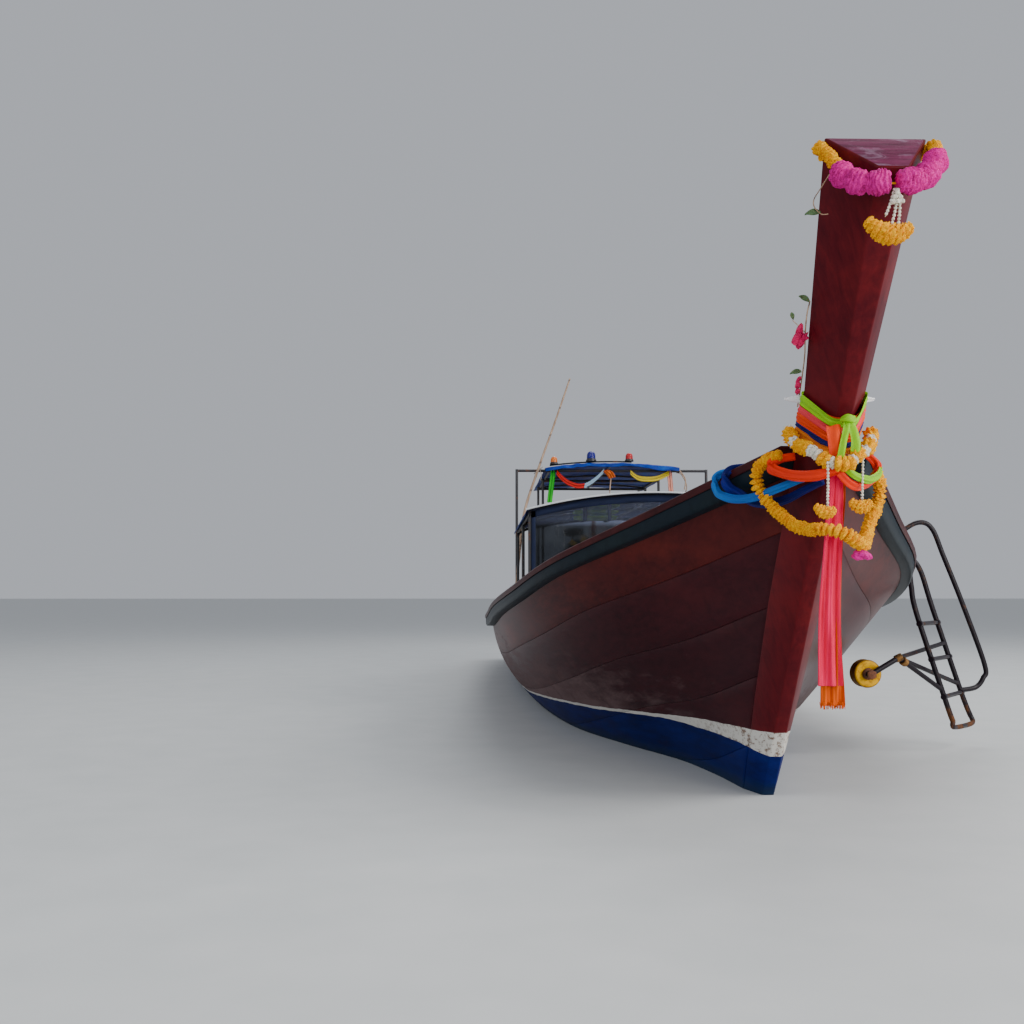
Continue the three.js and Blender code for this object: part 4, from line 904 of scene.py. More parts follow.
batten = [(roofLamps["x"], y / 1000, aftRoof(y / 1000) + 0.0201) for y in range(-610, 221, 50)]
bm = pipeRuns([(batten, 0.008)], 2)
lampBase = paintedMetal("lamp_base", (0.015, 0.015, 0.017), rust=0.05, rough=0.35)
for tint, colour, y, size in roofLamps["places"]:
    mergeInto(bm, lampShape("base", y, size, 28))
finishPiece(bm, "roof_lamp_batten", lampBase, "roof_lamps", smooth=40)
for tint, colour, y, size in roofLamps["places"]:
    mat = startMaterial(f"{tint}_dome", Roughness=0.16, Coat_Weight=0.25, Coat_Roughness=0.06,
                        Specular_IOR_Level=0.3)
    coords = objectCoords(mat)
    rings = addNode(mat, "TexWave", {"Vector": coords, "Scale": 46.0}, bands_direction="Z").outputs[1]
    dust = noiseOf(mat, coords, 30, detail=5)
    # painted shade: each dome is darker in the grooves between its rings
    grooveShadedGlass = rampOf(mat, rings, (0.2, [c * 0.45 for c in colour]), (0.7, colour))
    coat(mat, mixOf(mat, rampOf(mat, dust, (0.5, 0.0), (0.8, 0.12)), grooveShadedGlass, (0.5, 0.48, 0.45)),
         rampOf(mat, dust, (0.4, 0.14), (0.75, 0.4)), rings, 0.35, 0.002)
    finishPiece(lampShape("dome", y, size, 32), f"roof_lamp_{tint}", mat, smooth=35)

# Bamboo pole with its joints, lashed to the front bar
pole = {"x": -0.9186, "foot": 0.0175, "tip": 0.008, "joint": 0.27, "jointHalf": 0.016, "jointSwell": 1.13,
        "points": ((-0.962, 0.3), (-0.935, 0.9), (-0.905, 1.3), (-0.85, 1.7), (-0.71, 2.13), (-0.56, 2.55),
                   (-0.409, 2.99))}
bambooSkin = startMaterial("bamboo_skin", Coat_Weight=0.15, Coat_Roughness=0.3)
height = axisOf(bambooSkin, objectCoords(bambooSkin), 2)
joint = calc(bambooSkin, "PINGPONG", height, pole["joint"] / 2)
streaks = noiseOf(bambooSkin, objectCoords(bambooSkin, scale=(60, 60, 2)), 1.0, detail=6)
atJoint = rampOf(bambooSkin, calc(bambooSkin, "MULTIPLY", joint, 12.0), (0.0, 1.0), (0.18, 0.0))
cane = rampOf(bambooSkin, streaks, (0.3, (0.26, 0.15, 0.085)), (0.7, (0.56, 0.38, 0.25)))
coat(bambooSkin, mixOf(bambooSkin, atJoint, cane, (0.12, 0.07, 0.045)), 0.5, streaks, 0.2, 0.001)
line = smoothLine([(pole["x"], y, z) for y, z in pole["points"]], 16)
travel, radii = 0.0, []
for k, point in enumerate(line):
    travel += (point - line[k - 1]).length if k else 0
    share = k / (len(line) - 1)
    near = abs((travel / pole["joint"]) % 1 - 0.5) * pole["joint"]
    swell = pole["jointSwell"] if near < pole["jointHalf"] else 1.0
    radii.append((pole["foot"] * (1 - share) + pole["tip"] * share) * swell)
for k, point in enumerate(line):  # the pole isn't dead straight
    point.x += 0.006 * math.sin(k * 0.21)
finishPiece(pipeRuns([(line, radii)], 4), "bamboo_pole_jointed", bambooSkin, "bamboo_pole",
            smooth=40)
lashing = {"middle": (-0.934, -0.72, 2.086), "turns": 8, "perTurn": 18, "cord": 0.0032}
cordGrey = cloth("lashing_cord", (0.42, 0.36, 0.3), (0.16, 0.13, 0.1), threads=400)
turns = []
for k in range(lashing["turns"] * lashing["perTurn"]):
    turn = k / lashing["perTurn"]
    angle = turn * math.tau
    x, y, z = lashing["middle"]
    turns.append(Vector((x + 0.036 * math.cos(angle), y + 0.024 * math.sin(angle) + 0.0055 * (turn - 4),
                         z + 0.02 * math.sin(angle) + 0.0045 * (turn - 4))))
tails = [smoothLine([turns[-1], (-0.9, -0.7, 2.07), (-0.89, -0.69, 2.03), (-0.892, -0.7, 1.985)], 5),
         smoothLine([turns[0], (-0.895, -0.74, 2.07), (-0.886, -0.755, 2.035), (-0.89, -0.75, 2.0)], 5)]
bm = pipeRuns([(turns, lashing["cord"]), (tails[0], 0.003), (tails[1], 0.003)], 1)
finishPiece(bm, "pole_lashing", cordGrey, smooth=60)
print("pole lashed")

# Cloth wound on the front posts, swags under the bar, and three thin sticks
# The second colours are painted shade in the folds
greenCloth = cloth("green_cloth", (0.03, 0.55, 0.03), (0.01, 0.2, 0.01))
peachCloth = cloth("peach_cloth", (0.85, 0.4, 0.3), (0.45, 0.18, 0.13))
redCloth = cloth("red_cloth", (0.75, 0.03, 0.02), (0.28, 0.008, 0.01))
paleBlueCloth = cloth("pale_blue_cloth", (0.42, 0.6, 0.72), (0.16, 0.26, 0.36))
orangeCloth = cloth("orange_cloth", (0.9, 0.2, 0.02), (0.4, 0.06, 0.01))
yellowCloth = cloth("yellow_cloth", (0.8, 0.62, 0.03), (0.36, 0.26, 0.02))


def hangingStrip(name, mat, line, across, width, pleats=3, depth=0.006, taper=0.0):
    rows = []
    across = Vector(across).normalized()
    for k, point in enumerate(line):
        out = wayAt(line, k).cross(across).normalized()
        half = width / 2 * (1 - taper * k / len(line))
        row = []
        for j in range(4 * pleats + 1):
            share = j / (4 * pleats) * 2 - 1
            fold = math.sin(share * math.pi * pleats) * depth
            fold += depth * noise.noise(Vector((share * 2, k * 0.16, 0)))
            row.append(point + across * half * share + out * fold)
        rows.append(row)
    return clothPiece(rows, name, mat, thick=0.0014)


wraps = {"x": -0.935, "top": 2.07}
for name, mat, slot, y, lean, low in (("green_post_wrap", greenCloth, "lime_cloth", -0.575, -0.12, 1.77),
                                      ("peach_post_wrap", peachCloth, "orange_cloth", 0.566, 0.08, 1.875)):
    line = [Vector((wraps["x"] - 0.01, y, aftCanopy["bar"] + 0.016))]
    for k in range(15):
        z = wraps["top"] - (wraps["top"] - low) * k / 14
        line.append(Vector((wraps["x"] + 0.004 * math.sin(k), y + lean * (wraps["top"] - z), z)))
    hangingStrip(name, mat, line, (0, 1, 0), 0.05, pleats=2, depth=0.01)
swags = (("red_swag", redCloth, "orange_cloth", (0.3, 0.2, 1),
          ((-0.541, 2.07), (-0.5, 2.02), (-0.43, 1.965), (-0.34, 1.932), (-0.27, 1.935))),
         ("pale_blue_swag", paleBlueCloth, "blue_cloth", (0.3, 0.2, 1),
          ((-0.27, 1.935), (-0.21, 1.965), (-0.15, 2.01), (-0.1, 2.06), (-0.08, 2.085))),
         ("yellow_swag", yellowCloth, "yellow_plastic", (0.15, 0, 1),
          ((0.18, 2.068), (0.25, 2.015), (0.34, 2.0), (0.45, 2.01), (0.56, 2.06))))
for name, mat, slot, across, points in swags:
    line = smoothLine([(-0.915, y, z) for y, z in points])
    hangingStrip(name, mat, line, across, 0.05, pleats=2)
line = smoothLine([(-0.92, -0.08, 2.085), (-0.905, -0.05, 2.075), (-0.9, -0.02, 2.05), (-0.905, 0.0, 2.01)])
hangingStrip("orange_knot_cloth", orangeCloth, line, (0.4, 1, 0.2), 0.075,
             depth=0.012)
sticks = [([(-0.966, 0.002, 2.075), (-0.962, -0.019, 1.86), (-0.96, -0.022, 1.62)], 0.006),
          ([(-0.966, 0.64, 2.07), (-0.962, 0.69, 2.05), (-0.96, 0.74, 1.94), (-0.962, 0.72, 1.86)], 0.005),
          ([(-0.935, 0.655, 2.1), (-0.93, 0.72, 2.01), (-0.94, 0.715, 1.9)], 0.006)]
bm = pipeRuns([(smoothLine(points, 5), radius) for points, radius in sticks], 2)
finishPiece(bm, "canopy_sticks", bambooSkin, smooth=60)
print("swags hung")

# Bow ladder: two bent legs, an outer loop, rungs and knee braces, in black pipe
ladder = {"pipe": 0.015, "rungPipe": 0.013, "leftX": 3.85, "rightX": 3.55, "loopX": 3.5,
          "rungs": (0.31, 0.52, 0.72), "knee": (4.045, 1.012, 0.54), "braces": (0.35, 0.36, 0.6),
          "roller": (3.99, 0.845, 0.452), "axle": 0.017}
capEdge = [ring[5] for ring in capRings]


# The cap's outer edge beside a place along the boat
def gunwaleAt(x):
    for a, b in zip(capEdge, capEdge[1:]):
        if b.x <= x <= a.x:
            t = (x - a.x) / (b.x - a.x)
            return a.y + t * (b.y - a.y), a.z + t * (b.z - a.z)
    return capEdge[-1].y, capEdge[-1].z


def hookEnd(x):
    y, top = gunwaleAt(x)
    return (x, y + 0.04, top + ladder["pipe"] + 0.001)


lx, rx, ox = ladder["leftX"], ladder["rightX"], ladder["loopX"]
left = [(lx, 1.384, 0.17), (lx, 1.345, 0.285), (lx, 1.19, 0.78), (lx, 1.164, 0.93), (lx, 1.15, 1.03),
        (lx, 1.105, 1.072), (lx, 1.05, 1.05), hookEnd(lx)]
right = [(rx, 1.61, 0.17), (rx, 1.556, 0.315), (rx, 1.4, 0.8), (rx, 1.33, 1.03), (rx, 1.265, 1.1),
         (rx, 1.17, 1.1), hookEnd(rx)]
loop = [(rx - 0.004, 1.556, 0.322), (ox, 1.665, 0.335), (ox - 0.005, 1.715, 0.39), (ox - 0.005, 1.725, 0.47),
        (ox, 1.6, 0.83), (ox, 1.49, 1.12), (ox, 1.432, 1.27), (ox, 1.37, 1.316), (ox, 1.285, 1.29),
        (ox, 1.19, 1.19), hookEnd(ox)]


def onLeg(points, z):
    i = next(k for k in range(1, len(points)) if points[k][2] >= z)
    t = (z - points[i - 1][2]) / (points[i][2] - points[i - 1][2])
    return tuple(a + t * (b - a) for a, b in zip(points[i - 1], points[i]))


runs = [(smoothLine(points, 8), ladder["pipe"]) for points in (left, right, loop)]
runs.append((smoothLine([(lx, 1.384, 0.172), (lx - 0.02, 1.398, 0.138), (rx + 0.04, 1.6, 0.134),
                         (rx, 1.61, 0.172)], 8), 0.014))
runs += [([onLeg(left, z), onLeg(right, z)], ladder["rungPipe"]) for z in ladder["rungs"]]
roller = Vector(ladder["roller"])
runs.append(([roller + Vector((-0.065, 0, 0)), roller + Vector((0.102, 0, 0))], ladder["axle"]))
runs.append(([roller + Vector((0.088, 0, 0)), ladder["knee"]], ladder["pipe"]))
braces = zip((left, right, right), ladder["braces"])
runs += [([ladder["knee"], onLeg(leg, z)], ladder["rungPipe"]) for leg, z in braces]
bm = pipeRuns(runs, 3)
weldBead = ((0, -0.02), (0.0165, -0.018), (0.0185, -0.01), (0.0185, 0.01), (0.0165, 0.018), (0, 0.02))
for z in ladder["rungs"]:  # weld beads where the rungs meet the legs
    for leg in (left, right):
        mergeInto(bm, turned(weldBead, onLeg(leg, z), Vector(onLeg(right, z)) - Vector(onLeg(left, z)), 16))
finishPiece(bm, "bow_ladder_pipes", steelDark, "bow_ladder", smooth=50)
floatYellow = startMaterial("float_yellow", Specular_IOR_Level=0.15)
grime = noiseOf(floatYellow, objectCoords(floatYellow), 24, detail=8, roughness=0.7)
aboutRoller = objectCoords(floatYellow, move=(0, -ladder["roller"][1], -ladder["roller"][2]))
reach = addNode(floatYellow, "VectorMath", {0: aboutRoller, 1: (0, 1, 1)}, operation="MULTIPLY").outputs[0]
reach = addNode(floatYellow, "VectorMath", {0: reach}, operation="LENGTH").outputs["Value"]
reach = calc(floatYellow, "ADD", reach, calc(floatYellow, "MULTIPLY", grime, 0.008))
tread = rampOf(floatYellow, reach, (0.07, 0.0), (0.082, 1.0))
face = rampOf(floatYellow, grime, (0.35, (0.34, 0.13, 0.0)), (0.52, (0.72, 0.38, 0.0)),
              (0.75, (0.82, 0.46, 0.0)))
coat(floatYellow, mixOf(floatYellow, tread, face, (0.07, 0.022, 0.012)),
     rampOf(floatYellow, grime, (0.3, 0.7), (0.7, 0.42)), grime, 0.4, 0.002)
profile = ((0.0182, -0.042), (0.03, -0.0425), (0.034, -0.046), (0.062, -0.048), (0.07, -0.0465),
           (0.075, -0.042), (0.077, -0.034), (0.0755, -0.03), (0.0755, 0.03), (0.077, 0.034), (0.075, 0.042),
           (0.07, 0.0465), (0.062, 0.048), (0.034, 0.046), (0.03, 0.0425), (0.0182, 0.042), (0.0182, -0.042))
finishPiece(turned(profile, roller, (1, 0, 0), 40), "ladder_float", floatYellow, "ladder_fender",
            smooth=40)
hubProfile = ((0.0172, 0.0435), (0.031, 0.0435), (0.033, 0.048), (0.03, 0.056), (0.024, 0.06),
              (0.0172, 0.061), (0.0172, 0.0435))
hub = turned(hubProfile, roller, (1, 0, 0), 28)
axleNut = ((0, 0), (0.027, 0), (0.027, 0.014), (0.02, 0.018), (0, 0.018))
mergeInto(hub, turned(axleNut, roller + Vector((0.1, 0, 0)), (1, 0, 0), 6))
mergeInto(hub, turned(hubProfile, roller, (-1, 0, 0), 28))
rustHub = paintedMetal("rusty_hub", (0.12, 0.05, 0.025), rust=0.8, rough=0.6, seed=3.0)
finishPiece(hub, "ladder_float_hub", rustHub, smooth=40)
brass = paintedMetal("brass_clamp", (0.3, 0.14, 0.03), rust=0.4, rough=0.5, metal=0.5,
                     rustColour=(0.06, 0.03, 0.012))
braceClamp = ((0.0145, -0.016), (0.022, -0.016), (0.0235, -0.012), (0.0235, 0.012), (0.022, 0.016),
              (0.0145, 0.016), (0.0145, -0.016))
kneeCap = ((0, -0.024), (0.018, -0.022), (0.0205, -0.014), (0.0205, 0.014), (0.018, 0.022), (0, 0.024))
knee = Vector(ladder["knee"])
braceWay = Vector(onLeg(left, ladder["braces"][0])) - knee
clamp = turned(braceClamp, knee + braceWay.normalized() * 0.05, braceWay, 20)
mergeInto(clamp, turned(kneeCap, knee, knee - roller, 20))
finishPiece(clamp, "ladder_clamp", brass, smooth=40)
print("ladder and its float fitted")


# Flowers: petals' colour with painted shade in the creases
def petals(name, litColour, deep, size=260, rough=0.75):
    mat = startMaterial(name, Specular_IOR_Level=0.12, Subsurface_Weight=0.05, Subsurface_Scale=0.01)
    coords = objectCoords(mat)
    crease = noiseOf(mat, coords, size, detail=5, roughness=0.7, distortion=0.8)
    tone = noiseOf(mat, coords, 30, detail=2)
    # painted shade: the deep colour fills the low parts of the crease relief
    colour = rampOf(mat, crease, (0.38, deep), (0.58, litColour))
    colour = mixOf(mat, rampOf(mat, tone, (0.4, 0.0), (0.7, 0.4)), colour,
                   [min(1, c * 1.25) for c in litColour])
    return coat(mat, colour, rough, crease, 0.7, 0.003)


# Each second colour is the painted shade of the petals' creases
marigoldYellow = petals("marigold_petals", (0.98, 0.46, 0.0), (0.46, 0.11, 0.0))
jasmineWhite = petals("jasmine_buds", (0.78, 0.76, 0.66), (0.42, 0.4, 0.3), size=150)
pinkPetals = petals("pink_ruffle_cloth", (0.7, 0.009, 0.3), (0.34, 0.002, 0.11), size=120, rough=0.6)


# One blossom: a ball flattened along the thread, its rim drawn out into petals
def blossom(target, place, thread, radius, flat=0.5, petalCount=8, ruffle=0.16, detail=3):
    bm = bmesh.new()
    bmesh.ops.create_icosphere(bm, subdivisions=detail, radius=1)
    phase = dice.random() * math.tau
    lean = dice.uniform(-0.12, 0.12)
    for v in bm.verts:
        angle = math.atan2(v.co.y, v.co.x)
        rim = math.hypot(v.co.x, v.co.y)
        grow = 1 + ruffle * rim * math.sin(angle * petalCount + phase + v.co.z * 3)
        grow += ruffle * noise.noise(v.co * 2.6 + Vector((phase, 0, 0)))
        dent = 1 + 0.5 * noise.noise(v.co * 3 + Vector((0, phase, 0)))
        v.co = Vector((v.co.x * grow, v.co.y * grow, v.co.z * flat * dent + lean * v.co.x))
    seat = Matrix.Translation(place) @ facing(thread) @ Matrix.Scale(radius, 4)
    bmesh.ops.transform(bm, matrix=seat, verts=bm.verts)
    mergeInto(target, bm)


# Places at an even pitch along a line, each with the line's direction
def pacedLine(line, pitch):
    travel, due, places = 0.0, 0.0, []
    for a, b in zip(line, line[1:]):
        step = (b - a).length
        while due <= travel + step:
            places.append((a.lerp(b, (due - travel) / step), (b - a).normalized()))
            due += pitch
        travel += step
    return places


def garland(name, path, radius, pitch, mat, replaced, flat=0.5, closed=False, skip=None):
    line = smoothLine(path, 10, closed)
    if closed:
        line.append(line[0])
    bm = bmesh.new()
    for place, way in pacedLine(line, pitch):
        if skip and skip(place):
            continue
        jitter = Vector((dice.uniform(-1, 1), dice.uniform(-1, 1), dice.uniform(-1, 1))) * radius * 0.07
        blossom(bm, place + jitter, way, radius * dice.uniform(0.88, 1.1), flat)
    mergeInto(bm, pipeRuns([(line, radius * 0.18)], 1))
    return finishPiece(bm, name, mat, replaced, smooth=60)


longGarland = ((6.19, -0.18, 1.401), (6.15, -0.205, 1.392), (6.105, -0.222, 1.38), (6.065, -0.237, 1.35),
               (6.06, -0.234, 1.308), (6.068, -0.21, 1.262), (6.12, -0.178, 1.201), (6.2, -0.133, 1.144),
               (6.3, -0.106, 1.122), (6.385, -0.104, 1.118), (6.441, -0.052, 1.112), (6.447, -0.004, 1.09),
               (6.408, 0.05, 1.062), (6.3, 0.099, 1.103), (6.2, 0.15, 1.163), (6.12, 0.202, 1.221),
               (6.11, 0.219, 1.282), (6.135, 0.208, 1.318), (6.165, 0.19, 1.335))
garland("marigold_strand", longGarland, 0.0228, 0.0205, marigoldYellow, "marigold_garland")

# Garland on the stem's head: small blossoms round the back, pleated pink ruffles in front
headRing = ((6.712, 0, 2.318), (6.712, -0.13, 2.322), (6.738, -0.176, 2.345), (6.768, -0.174, 2.333),
            (6.802, -0.168, 2.304), (6.84, -0.158, 2.262), (6.875, -0.136, 2.215), (6.918, -0.09, 2.172),
            (6.946, -0.045, 2.158), (6.95, 0.013, 2.157), (6.934, 0.075, 2.18), (6.895, 0.13, 2.24),
            (6.84, 0.17, 2.3), (6.79, 0.186, 2.335), (6.735, 0.183, 2.343), (6.712, 0.13, 2.322))
garland("head_blossoms", headRing, 0.021, 0.0175, marigoldYellow, "head_garland", flat=0.65, closed=True,
        skip=lambda p: p.x > 6.87)
ruffles = {
    "radius": 0.0385, "puffs": 3, "pleat": 0.0095, "rings": 110, "ringPoints": 30,
    "starboard": ((6.846, -0.153, 2.235), (6.885, -0.128, 2.194), (6.925, -0.099, 2.167),
                  (6.954, -0.053, 2.157), (6.961, -0.022, 2.159)),
    "port": ((6.961, 0.001, 2.16), (6.957, 0.045, 2.162), (6.93, 0.095, 2.184), (6.885, 0.145, 2.238),
             (6.85, 0.168, 2.283)),
}
for end in ("starboard", "port"):
    line = smoothLine(ruffles[end], 14)
    total = lineLength(line)
    spots = pacedLine(line, total / ruffles["rings"])
    rings = []
    for k, (place, way) in enumerate(spots):
        share = k / (len(spots) - 1)
        puff = abs(math.sin(math.pi * share * ruffles["puffs"]))
        size = ruffles["radius"] * (0.55 + 0.45 * puff**0.45)
        side = way.cross(Vector((0, 0, 1))).normalized()
        up = side.cross(way)
        ring = []
        for n in range(ruffles["ringPoints"]):
            angle = n / ruffles["ringPoints"] * math.tau
            spin = Vector((math.cos(angle) * 1.3, math.sin(angle) * 1.3, 0))
            waver = 4.5 * noise.noise(spin + Vector((0, 0, share * 5)))
            pleat = math.sin(share * total / ruffles["pleat"] * math.tau + waver)
            r = size * (1 + 0.075 * pleat + 0.2 * noise.noise(spin * 1.4 + Vector((0, 0, share * 14))))
            shift = way * 0.007 * noise.noise(spin * 2 + Vector((9, 0, share * 20)))
            ring.append(place + side * r * math.cos(angle) + up * r * math.sin(angle) + shift)
        rings.append(ring)
    finishPiece(sweep(rings), f"pink_ruffle_{end}", pinkPetals, smooth=180)
print("head garland strung")

# Jasmine pendants: white strings that end in a crescent of marigold
pendants = (
    ("head_pendant",
     (((6.966, -0.012, 2.13), (6.965, -0.026, 2.085), (6.964, -0.042, 2.045)),
      ((6.966, -0.006, 2.13), (6.965, -0.008, 2.08), (6.964, -0.022, 2.02)),
      ((6.966, 0.0, 2.13), (6.965, 0.004, 2.08), (6.964, -0.002, 2.02))),
     ((6.955, -0.09, 2.028), (6.96, -0.07, 2.012), (6.962, -0.035, 2.0), (6.962, 0.002, 1.998),
      (6.957, 0.034, 2.01)), 0.027),
    ("left_pendant", (((6.452, -0.079, 1.345), (6.452, -0.08, 1.27), (6.452, -0.083, 1.195)),),
     ((6.452, -0.122, 1.19), (6.455, -0.1, 1.18), (6.456, -0.078, 1.176), (6.453, -0.056, 1.18)), 0.019),
    ("right_pendant", (((6.415, 0.056, 1.375), (6.415, 0.053, 1.3), (6.415, 0.05, 1.215)),),
     ((6.412, 0.014, 1.208), (6.415, 0.032, 1.201), (6.417, 0.056, 1.2), (6.413, 0.082, 1.208)), 0.02),
)
for name, strings, crescent, size in pendants:
    bm = bmesh.new()
    for string in strings:
        line = smoothLine(string, 10)
        for place, way in pacedLine(line, 0.0115):
            blossom(bm, place, way, 0.0048, 1.2, petalCount=4, ruffle=0.2, detail=2)
        mergeInto(bm, pipeRuns([(line, 0.0012)], 1))
    finishPiece(bm, f"{name}_buds", jasmineWhite, smooth=60)
    arc = smoothLine(crescent, 8)
    bm = bmesh.new()
    spots = pacedLine(arc, size * 0.55)
    for k, (place, way) in enumerate(spots):
        swell = 0.62 + 0.5 * math.sin(math.pi * (k + 0.5) / len(spots))
        blossom(bm, place + Vector((0, 0, size * (0.75 - 0.9 * swell))), way, size * swell, 0.6, ruffle=0.22)
    finishPiece(bm, f"{name}_crescent", marigoldYellow, smooth=60)
cluster = ((6.973, -0.006, 2.118), (6.974, -0.013, 2.104), (6.974, 0.001, 2.105), (6.975, -0.019, 2.09),
           (6.976, -0.006, 2.091), (6.975, 0.007, 2.092))
way = Vector((0, 0.3, 1)).normalized()
bm = bmesh.new()
for place in cluster:
    blossom(bm, Vector(place), way, 0.0088, 0.9, petalCount=5, ruffle=0.25, detail=2)
finishPiece(bm, "head_pendant_cluster", jasmineWhite, smooth=60)

# Short garland over the collar: marigold and jasmine in turns
shortGarland = ((6.2, -0.15, 1.492), (6.255, -0.148, 1.448), (6.31, -0.136, 1.42), (6.355, -0.122, 1.405),
                (6.405, -0.1, 1.378), (6.43, -0.072, 1.352), (6.452, -0.04, 1.343), (6.452, -0.004, 1.345),
                (6.432, 0.03, 1.378), (6.39, 0.075, 1.4), (6.335, 0.108, 1.435), (6.26, 0.138, 1.478))
line = smoothLine(shortGarland, 10)
whiteTurns = "wyyywwyyyywwwyywyyywyyw"
whites, yellows = bmesh.new(), bmesh.new()
for k, (place, way) in enumerate(pacedLine(line, 0.0205)):
    isWhite = whiteTurns[k % len(whiteTurns)] == "w"
    blossom(whites if isWhite else yellows, place, way, 0.0205 if isWhite else 0.026, 0.62,
            petalCount=6 if isWhite else 8, ruffle=0.2)
mergeInto(yellows, pipeRuns([(line, 0.004)], 1))
finishPiece(yellows, "short_garland_marigold", marigoldYellow, smooth=60)
finishPiece(whites, "short_garland_jasmine", jasmineWhite, smooth=60)
blooms = (((6.412, 0.046, 1.03), 0.03, 0.5), ((6.414, 0.03, 1.022), 0.02, 0.6),
          ((6.414, 0.062, 1.024), 0.02, 0.6))
way = Vector((0.1, 0.15, 1)).normalized()
bloom = bmesh.new()
for place, size, flat in blooms:
    blossom(bloom, Vector(place), way, size, flat, petalCount=5, ruffle=0.07)
finishPiece(bloom, "pink_bloom", pinkPetals, smooth=60)
print("garlands strung")


# Ribbons wound round the stem. Their loops tilt, low in front and high behind, as they lie square to the
# leaning post, whose corners stand a little wider above the collar.
def stemCorners(z, out):
    front = hullForm["bowFoot"] + z / stemForm["slope"]
    share = min(max((z - 1.49) / 0.11, 0), 1)
    back = front - 0.171 - 0.013 * share
    backHalf, frontHalf = 0.108 + 0.004 * share + out, 0.028 + out * 0.8
    return [(back - out, backHalf), (front + out, frontHalf), (front + out, -frontHalf),
            (back - out, -backHalf)]


def stemLoop(front, back, out):
    low, high = stemCorners(front, out), stemCorners(back, out)
    corners = [Vector((*high[0], back)), Vector((*low[1], front)), Vector((*low[2], front)),
               Vector((*high[3], back))]
    line = []
    for a, b in zip(corners, corners[1:] + corners[:1]):
        count = 7 if abs(a.x - b.x) > 0.05 or abs(a.y - b.y) > 0.15 else 4
        line += [a.lerp(b, (k + 0.5) / count) for k in range(count)]
    return line


def windRibbon(name, mat, front, back, width, out, seed, taperFront):
    line = stemLoop(front, back, out)
    line.append(line[0].copy())
    centre = sum(line[:-1], Vector()) / (len(line) - 1)
    rows = []
    for k, point in enumerate(line):
        nearFront = (point.x - line[0].x) / stemForm["depth"]
        half = width / 2 * (1 - (1 - taperFront) * min(max(nearFront, 0), 1))
        outward = Vector((point.x - centre.x, point.y - centre.y, 0)).normalized()
        turn = (k % (len(line) - 1)) * 0.35
        row = []
        for j in range(9):
            share = j / 4 - 1
            crumple = 0.005 * noise.noise(Vector((share * 2.2, turn, seed)))
            crease = 0.0035 * math.sin(share * 7 + seed) + crumple
            belly = 0.004 * (1 - share * share)
            upward = Vector((half * share / stemForm["slope"], 0, half * share))
            row.append(point + upward + outward * (crease + belly))
        rows.append(row)
    return clothPiece(rows, name, mat, thick=0.0016)


# Satin, smoother than the cotton cloths
def satin(name, colour, shade, sheen=0.05):
    return cloth(name, colour, shade, rough=0.5, sheen=sheen)


# The second colours are painted shade in the folds
limeRibbon = satin("lime_ribbon", (0.3, 0.68, 0.001), (0.14, 0.34, 0.001))
salmonRibbon = satin("salmon_ribbon", (0.85, 0.06, 0.085), (0.5, 0.02, 0.03))
coralRibbon = satin("coral_ribbon", (0.85, 0.065, 0.005), (0.48, 0.022, 0.002))
navyRibbon = satin("navy_ribbon", (0.005, 0.007, 0.17), (0.002, 0.003, 0.06), sheen=0.04)
goldRibbon = satin("gold_ribbon", (0.85, 0.24, 0.012), (0.42, 0.09, 0.005), sheen=0.1)
whiteRibbon = satin("white_ribbon", (0.9, 0.9, 0.92), (0.6, 0.58, 0.62), sheen=0.1)
orangeSashCloth = satin("orange_sash_cloth", (0.95, 0.036, 0.001), (0.5, 0.01, 0.001), sheen=0.04)
skySashCloth = satin("sky_sash_cloth", (0.002, 0.17, 0.56), (0.001, 0.045, 0.24), sheen=0.06)
royalSashCloth = satin("royal_sash_cloth", (0.001, 0.006, 0.19), (0.0006, 0.002, 0.04), sheen=0.03)
roseSashCloth = satin("rose_sash_cloth", (0.86, 0.005, 0.095), (0.62, 0.001, 0.04))

under = windRibbon("collar_lining", coralRibbon, 1.458, 1.535, 0.12, 0.01, 0.2, 0.85)
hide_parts("ribbon_collar")
for name, mat, slot, front, back, width, out, seed, taper in (
        ("lime_band", limeRibbon, "lime_cloth", 1.492, 1.608, 0.04, 0.016, 1.0, 0.5),
        ("salmon_band", salmonRibbon, "orange_cloth", 1.462, 1.572, 0.034, 0.018, 2.0, 0.8),
        ("coral_band", coralRibbon, "orange_cloth", 1.443, 1.549, 0.03, 0.021, 3.0, 0.8),
        ("navy_band", navyRibbon, "blue_cloth", 1.421, 1.524, 0.022, 0.02, 4.0, 0.9),
        ("gold_band", goldRibbon, "orange_cloth", 1.402, 1.503, 0.026, 0.021, 5.0, 0.9)):
    windRibbon(name, mat, front, back, width, out, seed, taper)


# A rolled sash: a gathered strip, round in section, along a path
def rollSash(name, mat, path, width, seed, replaced=None, lobes=5):
    line = smoothLine(path, 8)
    flatter = 0.75
    rings = []
    for k, point in enumerate(line):
        way = wayAt(line, k)
        side = way.cross(Vector((0.2, 0.1, 1))).normalized()
        up = side.cross(way)
        share = min(max(k / (len(line) - 1), 0.04), 0.96)
        lump = 0.09 * noise.noise(Vector((k * 0.17, seed, 0)))
        size = width / 2 * (0.72 + 0.28 * math.sin(math.pi * share) ** 0.6 + lump)
        ring = []
        for n in range(36):
            angle = n / 36 * math.tau
            drift = Vector((math.cos(angle) * 1.6, math.sin(angle) * 1.6, k * 0.07 + seed))
            fold = 1 + 0.2 * math.sin(lobes * angle + seed + k * 0.09) + 0.2 * noise.noise(drift)
            sideways = side * size * flatter * fold * math.cos(angle)
            ring.append(point + sideways + up * size * fold * math.sin(angle))
        rings.append(ring)
    bm = sweep(rings)
    sizeUv(bm, lineLength(line), width * math.pi)
    piece = finishPiece(bm, name, mat, replaced, smooth=180)
    return piece


